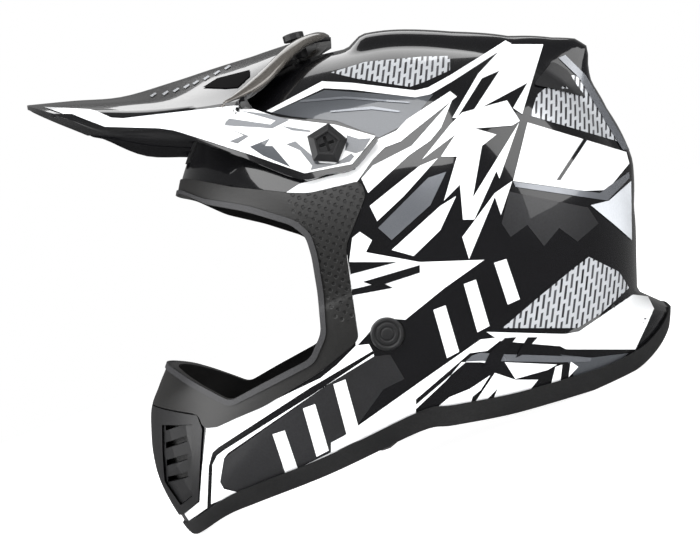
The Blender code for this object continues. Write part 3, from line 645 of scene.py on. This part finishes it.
# The camera sees a white background, and the paint mirrors a dimmer room
ROOM_LIGHT = 0.15
world = bpy.data.worlds.new("studio")
bpy.context.scene.world = world
world.use_nodes = True
room = world.node_tree
ray_kind = add(room, "ShaderNodeLightPath")
brightness = add(room, "ShaderNodeMapRange", in_To_Min=ROOM_LIGHT, in_To_Max=1.0)
room.links.new(ray_kind.outputs["Is Camera Ray"], brightness.inputs["Value"])
room.links.new(brightness.outputs["Result"], room.nodes["Background"].inputs["Strength"])
room.nodes["Background"].inputs["Color"].default_value = (1, 1, 1, 1)
bpy.context.scene.view_settings.view_transform = "Standard"


def area_light(name, spot, target, size, power):
    """A soft rectangular light aimed at a target."""
    data = bpy.data.lights.new(name, "AREA")
    data.shape = "RECTANGLE"
    data.size, data.size_y = size
    data.energy = power
    lamp = bpy.data.objects.new(name, data)
    link(lamp)
    lamp.location = spot
    lamp.rotation_euler = (Vector(target) - Vector(spot)).to_track_quat("-Z", "Y").to_euler()


area_light("top_front", (-0.2, -1.1, 1.6), (0, 0, 0.15), (2.4, 1.4), 46)
area_light("left", (-1.7, -0.5, 0.5), (0, 0, 0.15), (1.2, 1.4), 24)
area_light("right", (1.6, -0.9, 0.6), (0, 0, 0.15), (1.2, 1.4), 16)
area_light("back", (0.2, 1.2, 1.6), (0, 0, 0.15), (1.6, 1.0), 8)

# ---------------------------------------------------------------- shell

PORT_BORDER_ROUND = rounded(PORT_BORDER, 4)
EDGE_SMOOTH = open_curve(EDGE_LINE)
BELOW_EDGE = [(230, -260), (-170, -260)]
RIM_ROUND = rounded(PORT_RIM, 4)
# Bore radii, how far from the mid-plane each bore starts, and a reach beyond the shell
ANCHOR_BORE = 10.5
ANCHOR_FROM = 116.5
PIVOT_BORE = 5.35
PIVOT_FROM = 90
OUTSIDE = 140
# How far each trim stands proud of the shell's surface, and how deep it reaches below it
FRAME_PROUD = 1.2
FRAME_DEPTH = 6.0
RUBBER_PROUD = 1.7
RUBBER_DEPTH = 6.5
PORT_LIP_PROUD = 2.2
PORT_LIP_WIDTH = 3.6
PLATE_PROUD = 0.9
BROW_VENT = [(-130, 74), (-88, 74), (-72, 102), (-100, 112)]
REAR_VENT = [(112, 118), (128, 137), (160, 137), (160, 112)]

shell_cuts = [
    ("DIFFERENCE", prism(raised(EDGE_SMOOTH, TRIM_HEIGHT) + BELOW_EDGE)),
    ("DIFFERENCE", prism(PORT_BORDER_ROUND)),
    ("DIFFERENCE", prism(grown(MOUTH_AREA, 0.1))),
    ("DIFFERENCE", form(-SHELL_WALL)),
]
for side in (-1, 1):
    shell_cuts.append(("DIFFERENCE", cylinder(ANCHOR_BORE, side * ANCHOR_FROM, side * OUTSIDE, ANCHOR)))
    shell_cuts.append(("DIFFERENCE", cylinder(PIVOT_BORE, side * PIVOT_FROM, side * OUTSIDE, PEAK_PIVOT)))
shell = show("shell_skin", carve(form_mesh("shell_skin", 0.0), shell_cuts), PAINT_BLACK)
finish_edges(shell)
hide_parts("outer_shell")

# Eye port frame, edge rubber, mouthpiece
port_frame = show("port_frame", carve(form_mesh("port_frame", FRAME_PROUD), [
    ("INTERSECT", prism(grown(PORT_BORDER_ROUND, -0.3))), ("DIFFERENCE", form(-FRAME_DEPTH)),
    ("DIFFERENCE", prism(RIM_ROUND))]), DIMPLED)
finish_edges(port_frame, 0.0009)
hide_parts("eyeport_trim")

EDGE_BAND = EDGE_SMOOTH + raised(EDGE_SMOOTH, TRIM_HEIGHT)[::-1]
floor_cut = prism([(-400, -200), (400, -200), (400, 0), (-400, 0)], -320, 320)
floor_cut.data.transform(WORN.inverted() @ Matrix.Scale(MM, 4))
edge_rubber = show("edge_rubber", carve(form_mesh("edge_rubber", RUBBER_PROUD), [
    ("INTERSECT", prism(EDGE_BAND)), ("DIFFERENCE", form(-RUBBER_DEPTH)),
    ("DIFFERENCE", floor_cut)]), RUBBER)
finish_edges(edge_rubber, 0.0014)
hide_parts("neck_trim")

mouth_cuts = [("INTERSECT", prism(grown(MOUTH_AREA, -0.4))), ("DIFFERENCE", form(-FRAME_DEPTH))]
for side in (-1, 1):
    near, far = sorted((side * 4, side * WIDE))
    mouth_cuts.append(("DIFFERENCE", prism(GRILLE_WINDOW, near, far)))
mouth = show("mouth_body", carve(form_mesh("mouth_body", FRAME_PROUD), mouth_cuts), PLASTIC)
finish_edges(mouth, 0.0009)
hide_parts("mouthpiece")

# Grey lip round the opening of the port frame
port_lip = show("port_lip", carve(form_mesh("port_lip", PORT_LIP_PROUD), [
    ("INTERSECT", prism(grown(RIM_ROUND, PORT_LIP_WIDTH))), ("DIFFERENCE", form(-1.0)),
    ("DIFFERENCE", prism(RIM_ROUND))]), LIP_GREY)
finish_edges(port_lip, 0.0008)

# Vent plates with slots
SLOT_PITCH = 6.5
SLOT_HALF_LENGTH = 9


def vent_slots(outline, inboard, outboard):
    """Three slanted slots as cuts in a vent plate, clear of its inboard and outboard ends."""
    cuts = []
    middle = sum(p[0] for p in outline) / len(outline)
    low = min(p[1] for p in outline) + 5
    near, far = sorted((inboard, outboard))
    for i in range(3):
        z = low + SLOT_PITCH * i
        left, right = middle - SLOT_HALF_LENGTH, middle + SLOT_HALF_LENGTH
        slot = [(left, z), (right, z + 3), (right, z + 5), (left, z + 2)]
        cuts.append(("DIFFERENCE", prism(slot, near, far)))
    return cuts


for side, side_name in ((-1, "left"), (1, "right")):
    for vent_name, outline, inboard, outboard in (
            ("brow_vent", BROW_VENT, 14, 40), ("rear_vent", REAR_VENT, 52, 86)):
        near, far = sorted((side * inboard, side * outboard))
        slots = vent_slots(outline, side * (inboard + 4), side * (outboard - 4))
        plate = show(f"{vent_name}_plate_{side_name}", carve(form_mesh("vent", PLATE_PROUD), [
            ("INTERSECT", prism(rounded(outline, 3), near, far)), ("DIFFERENCE", form(-1.0))] + slots),
            PLASTIC)
        finish_edges(plate)
        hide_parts(f"{vent_name}_{side_name}")

discard_cutters()

# ---------------------------------------------------------------- peak

PEAK_WALL = 2.6
KNOB_SHANK_RADIUS = 3.0
TOP_SCREW_LEAN = 16.4
PEAK_RIBS = [
    [(-213, 0, 114), (-210, -12, 112), (-199, -36, 107.5),
     (-184, -60, 102), (-180, -64, 100), (-175.6, -67, 98.5)],
    [(-182, 0, 117), (-180, -13, 114.5), (-170, -45, 109),
     (-156, -74, 101.5), (-151, -81, 96.5), (-146, -88, 88.5)],
    [(-151, 0, 119.5), (-149, -14, 116.5), (-138, -52, 110),
     (-122, -84, 100.5), (-116, -91, 95), (-107, -97, 87.7)],
    [(-118, 0, 129), (-116, -15, 124.5), (-106, -56, 113),
     (-92, -89, 102.5), (-83, -97, 90), (-71, -103, 74.5)],
    [(-86, 0, 139.5), (-84, -16, 135), (-76, -58, 121),
     (-64, -95, 106), (-50, -106, 84), (-30, -114.5, 58)],
    [(-50, 0, 150.5), (-49, -19, 147.8), (-44, -60, 134),
     (-34, -95, 108), (-25, -109, 84), (-14, -117, 61)],
    [(-27, 0, 156.3), (-27, -21, 154.2), (-24, -61, 142),
     (-14, -97, 112), (-4, -111.5, 86), (2, -118.4, 64)],
    [(-12, 0, 157), (-12, -23, 155.4), (-9, -61, 144), (1, -98, 115), (8, -109, 96), (16, -116, 81)],
]
PEAK_CREASE = 3
PEAK_NOTCH = [
    (-70, -97), (-62, -86), (-44, -66), (-26, -38), (-12.5, -16), (-12.5, 16), (-26, 38),
    (-44, 66), (-62, 86), (-70, 97), (60, 97), (60, -97),
]
PEAK_ARM_ABOVE = [(-66, 103), (-42, 95.5), (-12, 91.8), (18, 83), (60, 70), (60, 200), (-66, 200)]
PEAK_STEPS = 5


def peak_mesh():
    """The peak: a sheet through the ribs, smooth but for its side crease and ridge, thickened."""
    columns = [open_curve([rib[k] for rib in PEAK_RIBS], PEAK_STEPS) for k in range(len(PEAK_RIBS[0]))]
    work = bmesh.new()
    rows = []
    for spots in zip(*columns):
        top = open_curve(spots[:PEAK_CREASE + 1], PEAK_STEPS)
        side = open_curve(spots[PEAK_CREASE:], PEAK_STEPS)
        near = [Vector(spot) for spot in top + side[1:]]
        far = [Vector((spot.x, -spot.y, spot.z)) for spot in near[:0:-1]]
        rows.append([work.verts.new(spot) for spot in far + near])
    for front, rear in zip(rows, rows[1:]):
        for k in range(len(front) - 1):
            work.faces.new((front[k], rear[k], rear[k + 1], front[k + 1]))
    work.normal_update()
    if sum(face.normal.z for face in work.faces) < 0:
        bmesh.ops.reverse_faces(work, faces=work.faces)
    obj = bpy.data.objects.new("peak_sheet", mesh_from("peak_sheet", work))
    link(obj)
    wall = obj.modifiers.new("wall", "SOLIDIFY")
    wall.thickness = PEAK_WALL
    wall.offset = -1
    wall.use_even_offset = True
    bpy.context.view_layer.update()
    done = bpy.data.meshes.new_from_object(obj.evaluated_get(bpy.context.evaluated_depsgraph_get()))
    bpy.data.objects.remove(obj)
    return done


def radial(distance):
    """The frame of the top screw: Z out along its axis, at this distance from the peak's pivot."""
    pivot = Matrix.Translation((PEAK_PIVOT[0], 0, PEAK_PIVOT[1]))
    lean = Matrix.Rotation(math.radians(-TOP_SCREW_LEAN), 4, "Y")
    return pivot @ lean @ Matrix.Translation((0, 0, distance))


def lathe(name, profile, place, sides=64):
    """A turned piece: (radius, height) points turned round Z, placed by a matrix."""
    work = bmesh.new()
    rows = []
    for radius, height in profile:
        turns = [2 * math.pi * i / sides for i in range(sides)]
        rows.append([work.verts.new((radius * math.cos(t), radius * math.sin(t), height)) for t in turns])
    for lower, upper in zip(rows, rows[1:]):
        for i in range(sides):
            k = (i + 1) % sides
            work.faces.new((lower[i], lower[k], upper[k], upper[i]))
    work.faces.new(rows[0])
    work.faces.new(rows[-1])
    bmesh.ops.transform(work, matrix=place, verts=work.verts)
    bmesh.ops.recalc_face_normals(work, faces=work.faces)
    return mesh_from(name, work)


def as_cutter(mesh):
    """A mesh as a cutter."""
    obj = bpy.data.objects.new("prism", mesh)
    link(obj)
    return obj


slot_cutter = lathe("slot", [(3.4, -14), (3.4, 24)], Matrix.Identity(4), 24)
slot_cutter.transform(radial(76) @ Matrix.Scale(3.6, 4, (1, 0, 0)))
notch_cutter = prism(PEAK_NOTCH, 60, 200).data.copy()
notch_cutter.transform(Matrix.Rotation(math.radians(90), 4, "X"))
peak_cuts = [("DIFFERENCE", as_cutter(slot_cutter)), ("DIFFERENCE", as_cutter(notch_cutter))]
for side in (-1, 1):
    peak_cuts.append(("DIFFERENCE", prism(PEAK_ARM_ABOVE, *sorted((side * 88, side * WIDE)))))
    peak_cuts.append(("DIFFERENCE", cylinder(KNOB_SHANK_RADIUS + 0.8, side * PIVOT_FROM, side * OUTSIDE,
        PEAK_PIVOT)))
peak_shape = carve(peak_mesh(), peak_cuts)
peak = show("peak_skin", peak_shape.copy(), PAINT_BLACK, "peak")
finish_edges(peak, 0.0007, 40)
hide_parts("peak")

# ---------------------------------------------------------------- paint scheme and painted shade

def mesh_tree(mesh):
    """The mesh as a tree to cast rays at."""
    work = bmesh.new()
    work.from_mesh(mesh)
    tree = BVHTree.FromBMesh(work)
    work.free()
    return tree


SHELL_STEP = 2.2
PEAK_STEP = 1.4


def side_ray(x, z):
    """Where the ray for a side outline's point starts, and its direction: from the camera's place."""
    start = Vector((0, -CAMERA_DISTANCE, 0))
    return start, (Vector((x, 0, z)) - start).normalized()


def dense(outline, step):
    """The outline with points no more than a step apart."""
    out = []
    for a, b in zip(outline, outline[1:] + outline[:1]):
        a, b = Vector(a), Vector(b)
        count = max(1, math.ceil((b - a).length / step))
        out += [a.lerp(b, k / count) for k in range(count)]
    return out


def inside(outline, spot):
    """True if the spot is inside the outline."""
    crossed = False
    for a, b in zip(outline, outline[1:] + outline[:1]):
        if (a[1] > spot[1]) != (b[1] > spot[1]):
            if spot[0] < a[0] + (b[0] - a[0]) * (spot[1] - a[1]) / (b[1] - a[1]):
                crossed = not crossed
    return crossed


def draped(name, outlines, tree, lift, step=SHELL_STEP):
    """Thin sheets of these outlines laid on the tree's surface, on the left side and mirrored."""
    work = bmesh.new()
    for outline in outlines:
        border = dense(outline, step)
        spots = list(border)
        low_x, high_x = min(p.x for p in border), max(p.x for p in border)
        low_z, high_z = min(p.y for p in border), max(p.y for p in border)
        grid = step * 1.2
        for i in range(1, int((high_x - low_x) / grid) + 1):
            for k in range(1, int((high_z - low_z) / grid) + 1):
                spot = Vector((low_x + i * grid, low_z + k * grid))
                if inside(outline, spot) and min((spot - p).length for p in border) > step * 0.45:
                    spots.append(spot)
        ring = list(range(len(border)))
        flat, _, faces, _, _, _ = geometry.delaunay_2d_cdt(spots, [], [ring], 1, 0.001)
        landed = []
        for spot in flat:
            place, normal, _, _ = tree.ray_cast(*side_ray(spot.x, spot.y))
            landed.append(None if place is None else place + normal * lift)
        for flip in (1, -1):
            verts = [work.verts.new((p.x, p.y * flip, p.z)) if p else None for p in landed]
            for face in faces:
                if all(verts[i] for i in face):
                    work.faces.new([verts[i] for i in (face if flip > 0 else reversed(face))])
    bmesh.ops.delete(work, geom=[v for v in work.verts if not v.link_faces], context="VERTS")
    return mesh_from(name, work)


# Height of one paint layer over the last, so that no two sheets share a surface
LAYER = 0.19
shell_tree = mesh_tree(form_mesh("shell_target", 0.0))
FINISHES = [
    ("paint_dark", DARK_PATCHES, PAINT_DARK, 1), ("paint_grey", GREY_PATCHES, PAINT_GREY, 1),
    ("paint_tread", TREAD_PATCHES, TREAD, 1), ("paint_white", WHITE_PATCHES, PAINT_WHITE, 2),
    ("paint_steel_and_shade", STEEL_AND_SHADE_PATCHES, PAINT_STEEL_AND_SHADE, 3), ("paint_pale", PALE_PATCHES, PAINT_PALE, 3),
    ("paint_slivers", GREY_SLIVERS, PAINT_STEEL_AND_SHADE, 3), ("paint_spikes", BLACK_PATCHES, PAINT_BLACK, 4),
]


def trimmed(mesh, keep_out):
    """Takes away the faces whose middle, seen from the camera's place, lies inside one of the outlines."""
    work = bmesh.new()
    work.from_mesh(mesh)
    for face in list(work.faces):
        middle = face.calc_center_median()
        spot = (middle.x, middle.z)
        if any(inside(outline, spot) for outline in keep_out):
            work.faces.remove(face)
    bmesh.ops.delete(work, geom=[v for v in work.verts if not v.link_faces], context="VERTS")
    work.to_mesh(mesh)
    work.free()
    return mesh


EDGE_ZONE = raised(EDGE_SMOOTH, TRIM_HEIGHT * 0.4) + BELOW_EDGE
RIM_ZONE = grown(RIM_ROUND, 4)
for name, outlines, look, level in FINISHES:
    sheet = draped(name, outlines, shell_tree, LAYER * level)
    patch = show(name, trimmed(sheet, [RIM_ZONE, EDGE_ZONE, GRILLE_WINDOW]), look)
    patch.data.shade_smooth()

bars = []
for x, z, height in BARS:
    top = [(x - 9, z + height * 0.5), (x - 1, z + height * 0.6)]
    foot = [(x + 8, z - height * 0.42), (x, z - height * 0.56)]
    bars.append(top + foot)
bar_mesh = draped("paint_bars", bars, shell_tree, LAYER * 2)
bar_sheet = show("paint_bars", bar_mesh, PAINT_WHITE)
bar_sheet.data.shade_smooth()

peak_tree = mesh_tree(peak_shape)
PEAK_LIFT = 0.32
PEAK_SIDE = [
    [(-202, 112.5), (-172, 111), (-166.5, 109.5), (-157.5, 105.5), (-150, 105), (-72.5, 114), (-69, 113),
     (-45, 105), (-10, 101), (17, 93.5), (1.5, 75), (-30, 69), (-66, 81.5), (-116, 97), (-126, 98.5),
     (-161.5, 99.5), (-183.5, 108), (-189, 108)],
]
PEAK_SHARDS = [
    [(-79.5, 105), (-52.5, 101), (-49, 103.5), (-72, 110), (-55, 108), (-40, 104), (-51, 98.5),
     (-82.5, 100.5), (-82, 102.5)],
    [(-80, 98.5), (-66.5, 93.5), (-74, 88.5), (-79.5, 90), (-70, 94)],
    [(-66, 86.5), (-52.5, 92), (-56, 87), (-51, 87), (-39, 73), (-57, 80.5)],
    [(-42, 88), (-36, 90), (-29, 84), (-20, 76), (-25, 74), (-33, 84)],
    [(-2, 94), (6, 91.5), (14, 92), (9, 84), (4, 82), (-3, 84)],
    [(-24, 76), (-10, 75), (1, 82), (3, 80), (0, 76.5), (-26, 71)],
    [(-45, 100), (-26, 97), (-26, 96), (-38, 97)],
]
# The vent on the peak's top is no hole: a sheet of painted shade marks it
PEAK_VENT = [[(-97, 125.5), (-87.5, 131.5), (-66, 137), (-66, 133), (-74, 125.5), (-82, 125)]]
FLECK_PLACES = [
    (-132, 119.8), (-124, 121), (-117, 123), (-110, 125.5), (-104, 128), (-97, 131), (-90, 134.5),
    (-83, 138),
]
PEAK_FLECKS = [
    [(x, z), (x + 3.5, z + 2.2), (x + 4.6, z + 1.6), (x + 1.4, z - 0.8)] for x, z in FLECK_PLACES]
for name, outlines, look, level in (
        ("peak_panel", PEAK_SIDE, PAINT_WHITE, 1), ("peak_shards", PEAK_SHARDS, PAINT_GREY, 2),
        ("peak_vent_painted_shade", PEAK_VENT, VENT_PAINTED_SHADE, 1), ("peak_flecks", PEAK_FLECKS, PAINT_PALE, 1)):
    sheet = draped(name, outlines, peak_tree, PEAK_LIFT + LAYER * level, PEAK_STEP)
    patch = show(name, sheet, look, "peak")
    patch.data.shade_smooth()

# The rounded lip along the rear of the peak's top, coloured bronze as a painted highlight band
LIP_LINE = [(-72.5, -93.5), (-58, -80), (-42, -63), (-27, -38), (-16, -16), (-14.5, 0)]
LIP_HALF_WIDTH = 6.0
LIP_RISE = 3.6
LIP_SIDES = 12
OVERHEAD = 300


def lip_mesh():
    """A rail that follows the V on the peak's surface and thins out towards its two ends."""
    half = open_curve(LIP_LINE, 6)
    line = half + [(x, -y) for x, y in half[-2::-1]]
    centres = []
    for x, y in line:
        above = Vector((x - LIP_HALF_WIDTH * 0.7, y, OVERHEAD))
        place, normal, _, _ = peak_tree.ray_cast(above, Vector((0, 0, -1)))
        centres.append((place, normal))
    work = bmesh.new()
    rings = []
    for i, (centre, normal) in enumerate(centres):
        back = centres[max(0, i - 1)][0]
        on = centres[min(len(centres) - 1, i + 1)][0]
        across = (on - back).normalized().cross(normal).normalized()
        size = 0.25 + 0.75 * smooth(0, 0.3, min(i, len(centres) - 1 - i) / len(centres) * 2)
        ring = []
        for k in range(LIP_SIDES):
            turn = 2 * math.pi * k / LIP_SIDES
            out = across * LIP_HALF_WIDTH * math.cos(turn) + normal * LIP_RISE * math.sin(turn)
            ring.append(work.verts.new(centre + out * size))
        rings.append(ring)
    for front, rear in zip(rings, rings[1:]):
        for k in range(LIP_SIDES):
            m = (k + 1) % LIP_SIDES
            work.faces.new((front[k], front[m], rear[m], rear[k]))
    work.faces.new(rings[0])
    work.faces.new(rings[-1])
    bmesh.ops.recalc_face_normals(work, faces=work.faces)
    return mesh_from("peak_lip", work)


peak_lip = show("peak_lip", lip_mesh(), LIP_PAINTED_HIGHLIGHT, "peak")
peak_lip.data.shade_smooth()

# ---------------------------------------------------------------- knobs and caps

# Turned outlines, as (radius, distance from the mid-plane)
KNOB_PROFILE = [(12.4, 117.1), (12.4, 118.7), (8.2, 122.9), (7.0, 122.9), (6.4, 121.8)]
CAP_PROFILE = [
    (9.6, 117.1), (10.0, 117.5), (10.0, 119.8), (9.2, 121.2), (8.0, 121.4), (7.2, 120.6),
    (6.6, 120.6), (6.2, 121.2), (4.6, 121.3), (4.2, 120.8), (3.6, 120.8), (3.2, 121.3), (0.4, 121.5),
]
KNOB_SIDES = 5
KNOB_TURN = 14
KNOB_SHANK = (102, 118)
CROSS_ANGLES = (20, 110)
CROSS_ARM = [(-4.6, -0.9), (4.6, -0.9), (4.6, 0.9), (-4.6, 0.9)]
CROSS_FLOOR = 119.8


def facing_out(centre, side):
    """The frame at the (x, z) centre on the mid-plane whose Z points out to this side."""
    middle = Matrix.Translation((centre[0], 0, centre[1]))
    return middle @ Matrix.Rotation(math.radians(-90 * side), 4, "X")


def knob_mesh(side):
    """A five-sided screw head with a cross recess and its shank."""
    spin = Matrix.Rotation(math.radians(KNOB_TURN), 4, "Z")
    head = lathe("head", KNOB_PROFILE, facing_out(PEAK_PIVOT, side) @ spin, KNOB_SIDES)
    inboard, outboard = KNOB_SHANK
    cuts = [("UNION", cylinder(KNOB_SHANK_RADIUS, side * inboard, side * outboard, PEAK_PIVOT))]
    near, far = sorted((side * CROSS_FLOOR, side * 126))
    for angle in CROSS_ANGLES:
        c, s = math.cos(math.radians(angle)), math.sin(math.radians(angle))
        cross = [(PEAK_PIVOT[0] + x * c - z * s, PEAK_PIVOT[1] + x * s + z * c) for x, z in CROSS_ARM]
        cuts.append(("DIFFERENCE", prism(cross, near, far)))
    return carve(head, cuts)


for side, side_name in ((-1, "left"), (1, "right")):
    knob = show(f"knob_head_{side_name}", knob_mesh(side), PLASTIC, f"knob_{side_name}")
    finish_edges(knob, 0.0005, 25)
    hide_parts(f"peak_knob_{side_name}")
    disc = lathe("cap", CAP_PROFILE, facing_out(ANCHOR, side))
    cap = show(f"cap_disc_{side_name}", disc, PLASTIC)
    finish_edges(cap, 0.0002)
    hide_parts(f"strap_cap_{side_name}")

discard_cutters()

# ---------------------------------------------------------------- soft linings

PAD_VOXEL = 0.004
PAD_FRAMES = 16
PAD_PRESSURE = 4
GROOVE_HALF_WIDTH = 3.0


def blow_up(obj, mesh, swell):
    """Blows the pad's mesh up as cloth, with no point moving further than swell."""
    start = [vert.co.copy() for vert in mesh.vertices]
    cloth = obj.modifiers.new("cloth", "CLOTH")
    cloth.settings.use_pressure = True
    cloth.settings.uniform_pressure_force = PAD_PRESSURE
    cloth.settings.effector_weights.gravity = 0
    cloth.settings.quality = 4
    cloth.point_cache.frame_start = 1
    cloth.point_cache.frame_end = PAD_FRAMES
    for number in range(1, PAD_FRAMES + 1):
        bpy.context.scene.frame_set(number)
    blown = obj.evaluated_get(bpy.context.evaluated_depsgraph_get()).to_mesh()
    ends = [vert.co.copy() for vert in blown.vertices]
    obj.modifiers.clear()
    bpy.context.scene.frame_set(1)
    for vert, a, b in zip(mesh.vertices, start, ends):
        move = b - a
        vert.co = a + move * min(1.0, swell / max(move.length, 1e-9))


def pad(name, node, shrink, swell, rounding, channels):
    """A padded lining: the CAD solid's form, drawn in, rounded, blown up as cloth and sewn.

    Shrink, swell and the channels' depths are in metres, and rounding is a number of smoothings. A
    channel is (axis, place, depth): a groove where that worn coordinate, in millimetres, is the place.
    """
    obj = bpy.data.objects.new(name, frame["nodes"][node].data.copy())
    link(obj)
    grid = obj.modifiers.new("grid", "REMESH")
    grid.mode = "VOXEL"
    grid.voxel_size = PAD_VOXEL
    bpy.context.view_layer.update()
    mesh = bpy.data.meshes.new_from_object(obj.evaluated_get(bpy.context.evaluated_depsgraph_get()))
    obj.modifiers.clear()
    work = bmesh.new()
    work.from_mesh(mesh)
    work.normal_update()
    for vert, move in [(vert, vert.normal * -shrink) for vert in work.verts]:
        vert.co += move
    for _ in range(rounding):
        bmesh.ops.smooth_vert(
            work, verts=work.verts, factor=0.5, use_axis_x=True, use_axis_y=True, use_axis_z=True)
    work.to_mesh(mesh)
    work.free()
    obj.data = mesh
    blow_up(obj, mesh, swell)
    to_worn = WORN.inverted()
    mesh.update()
    normals = [vert.normal.copy() for vert in mesh.vertices]
    for vert, normal in zip(mesh.vertices, normals):
        worn = to_worn @ vert.co
        for axis, place, depth in channels:
            distance = abs(worn[axis] - place) / GROOVE_HALF_WIDTH
            if distance < 1:
                vert.co -= normal * depth * (1 - distance * distance) ** 2
    fine = obj.modifiers.new("fine", "SUBSURF")
    fine.levels = 1
    fine.render_levels = 1
    mesh.shade_smooth()
    mesh.materials.clear()
    mesh.materials.append(CLOTH)
    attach(obj, "helmet")
    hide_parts(node)


pad("comfort_pad", "comfort_liner", 0.0016, 0.0012, 2,
    [(1, -34, 0.0014), (1, 34, 0.0014), (1, 0, 0.0010), (0, 92, 0.0012), (0, 20, 0.0012)])
for side_name in ("left", "right"):
    pad(f"cheek_cushion_{side_name}", f"cheek_pad_{side_name}", 0.0012, 0.0014, 5,
        [(0, 30, 0.0014), (2, -38, 0.0012)])
pad("neck_bolster", "neck_roll", 0.0006, 0.0006, 1, [(1, 0, 0.0008)])

# ---------------------------------------------------------------- straps

STRAP_EDGES = (8.0, 28.0)
STRAP_WALL = 1.6
STRAP_DROP = [(106.3, -50), (105, -62), (103.4, -72), (101, -80), (96, -86), (87, -90), (75, -91.6)]
LOOP_END = [
    (62, -91.8), (59.3, -90.9), (58.3, -88.3), (59.3, -85.7), (62, -84.8), (69, -85.0), (75, -86.2),
]
TONGUE_END = [(60, -92.4), (44, -92), (28, -91), (12, -90)]
STRAP_RIBS = 8
STITCH_INSET = 2.2
STITCH_RADIUS = 0.45
STITCH_SHAPE = (0.8, 0.8, 2.2, 1)


def webbing(name, path, node):
    """Ribbed webbing along the (y, z) path, with a row of stitches inside each edge."""
    line = open_curve(path, 5)
    work = bmesh.new()
    width = STRAP_EDGES[1] - STRAP_EDGES[0]
    across = [STRAP_EDGES[0] + width * k / STRAP_RIBS for k in range(STRAP_RIBS + 1)]
    rows = [[work.verts.new((x, y, z)) for x in across] for y, z in line]
    for front, rear in zip(rows, rows[1:]):
        for k in range(STRAP_RIBS):
            work.faces.new((front[k], front[k + 1], rear[k + 1], rear[k]))
    strap = show(name, mesh_from(name, work), WEBBING)
    wall = strap.modifiers.new("wall", "SOLIDIFY")
    wall.thickness = STRAP_WALL * MM
    wall.offset = 0
    finish_edges(strap, 0.0003, 50)
    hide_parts(node)
    work = bmesh.new()
    for (y0, z0), (y1, z1) in list(zip(line, line[1:]))[::2]:
        along = Vector((0, y1 - y0, z1 - z0)).normalized()
        face = Vector((0, -along.z, along.y))
        for x in (STRAP_EDGES[0] + STITCH_INSET, STRAP_EDGES[1] - STITCH_INSET):
            for hand in (-1, 1):
                middle = Vector((x, (y0 + y1) / 2, (z0 + z1) / 2)) + face * hand * (STRAP_WALL / 2)
                turn = along.to_track_quat("Z", "Y").to_matrix().to_4x4()
                place = Matrix.Translation(middle) @ turn @ Matrix.Diagonal(STITCH_SHAPE)
                bead = bmesh.ops.create_uvsphere(work, u_segments=6, v_segments=4, radius=STITCH_RADIUS)
                bmesh.ops.transform(work, matrix=place, verts=bead["verts"])
    stitches = show(f"{name}_stitches", mesh_from(f"{name}_stitches", work), THREAD)
    stitches.data.shade_smooth()


webbing("strap_web_left", [(-y, z) for y, z in STRAP_DROP + LOOP_END], "chin_strap_left")
webbing("strap_web_right", STRAP_DROP + TONGUE_END, "chin_strap_right")

# ---------------------------------------------------------------- CAD pieces that show as they are

CARRIED = {
    "crown_liner": FOAM, "chin_liner_left": FOAM, "chin_liner_right": FOAM,
    "chin_grille_left": PLASTIC, "chin_grille_right": PLASTIC, "mouth_mesh": DUST_MESH,
    "peak_top_screw": PLASTIC, "peak_spacer": PLASTIC,
    "peak_insert_left": STEEL, "peak_insert_right": STEEL,
    "strap_plate_left": STEEL, "strap_plate_right": STEEL,
    "strap_rivet_left": STEEL, "strap_rivet_right": STEEL,
    "d_ring_outer": STEEL, "d_ring_inner": STEEL,
}
for node_name, look in CARRIED.items():
    node = frame["nodes"][node_name]
    for material_slot in node.material_slots:
        material_slot.link = "OBJECT"
        material_slot.material = look
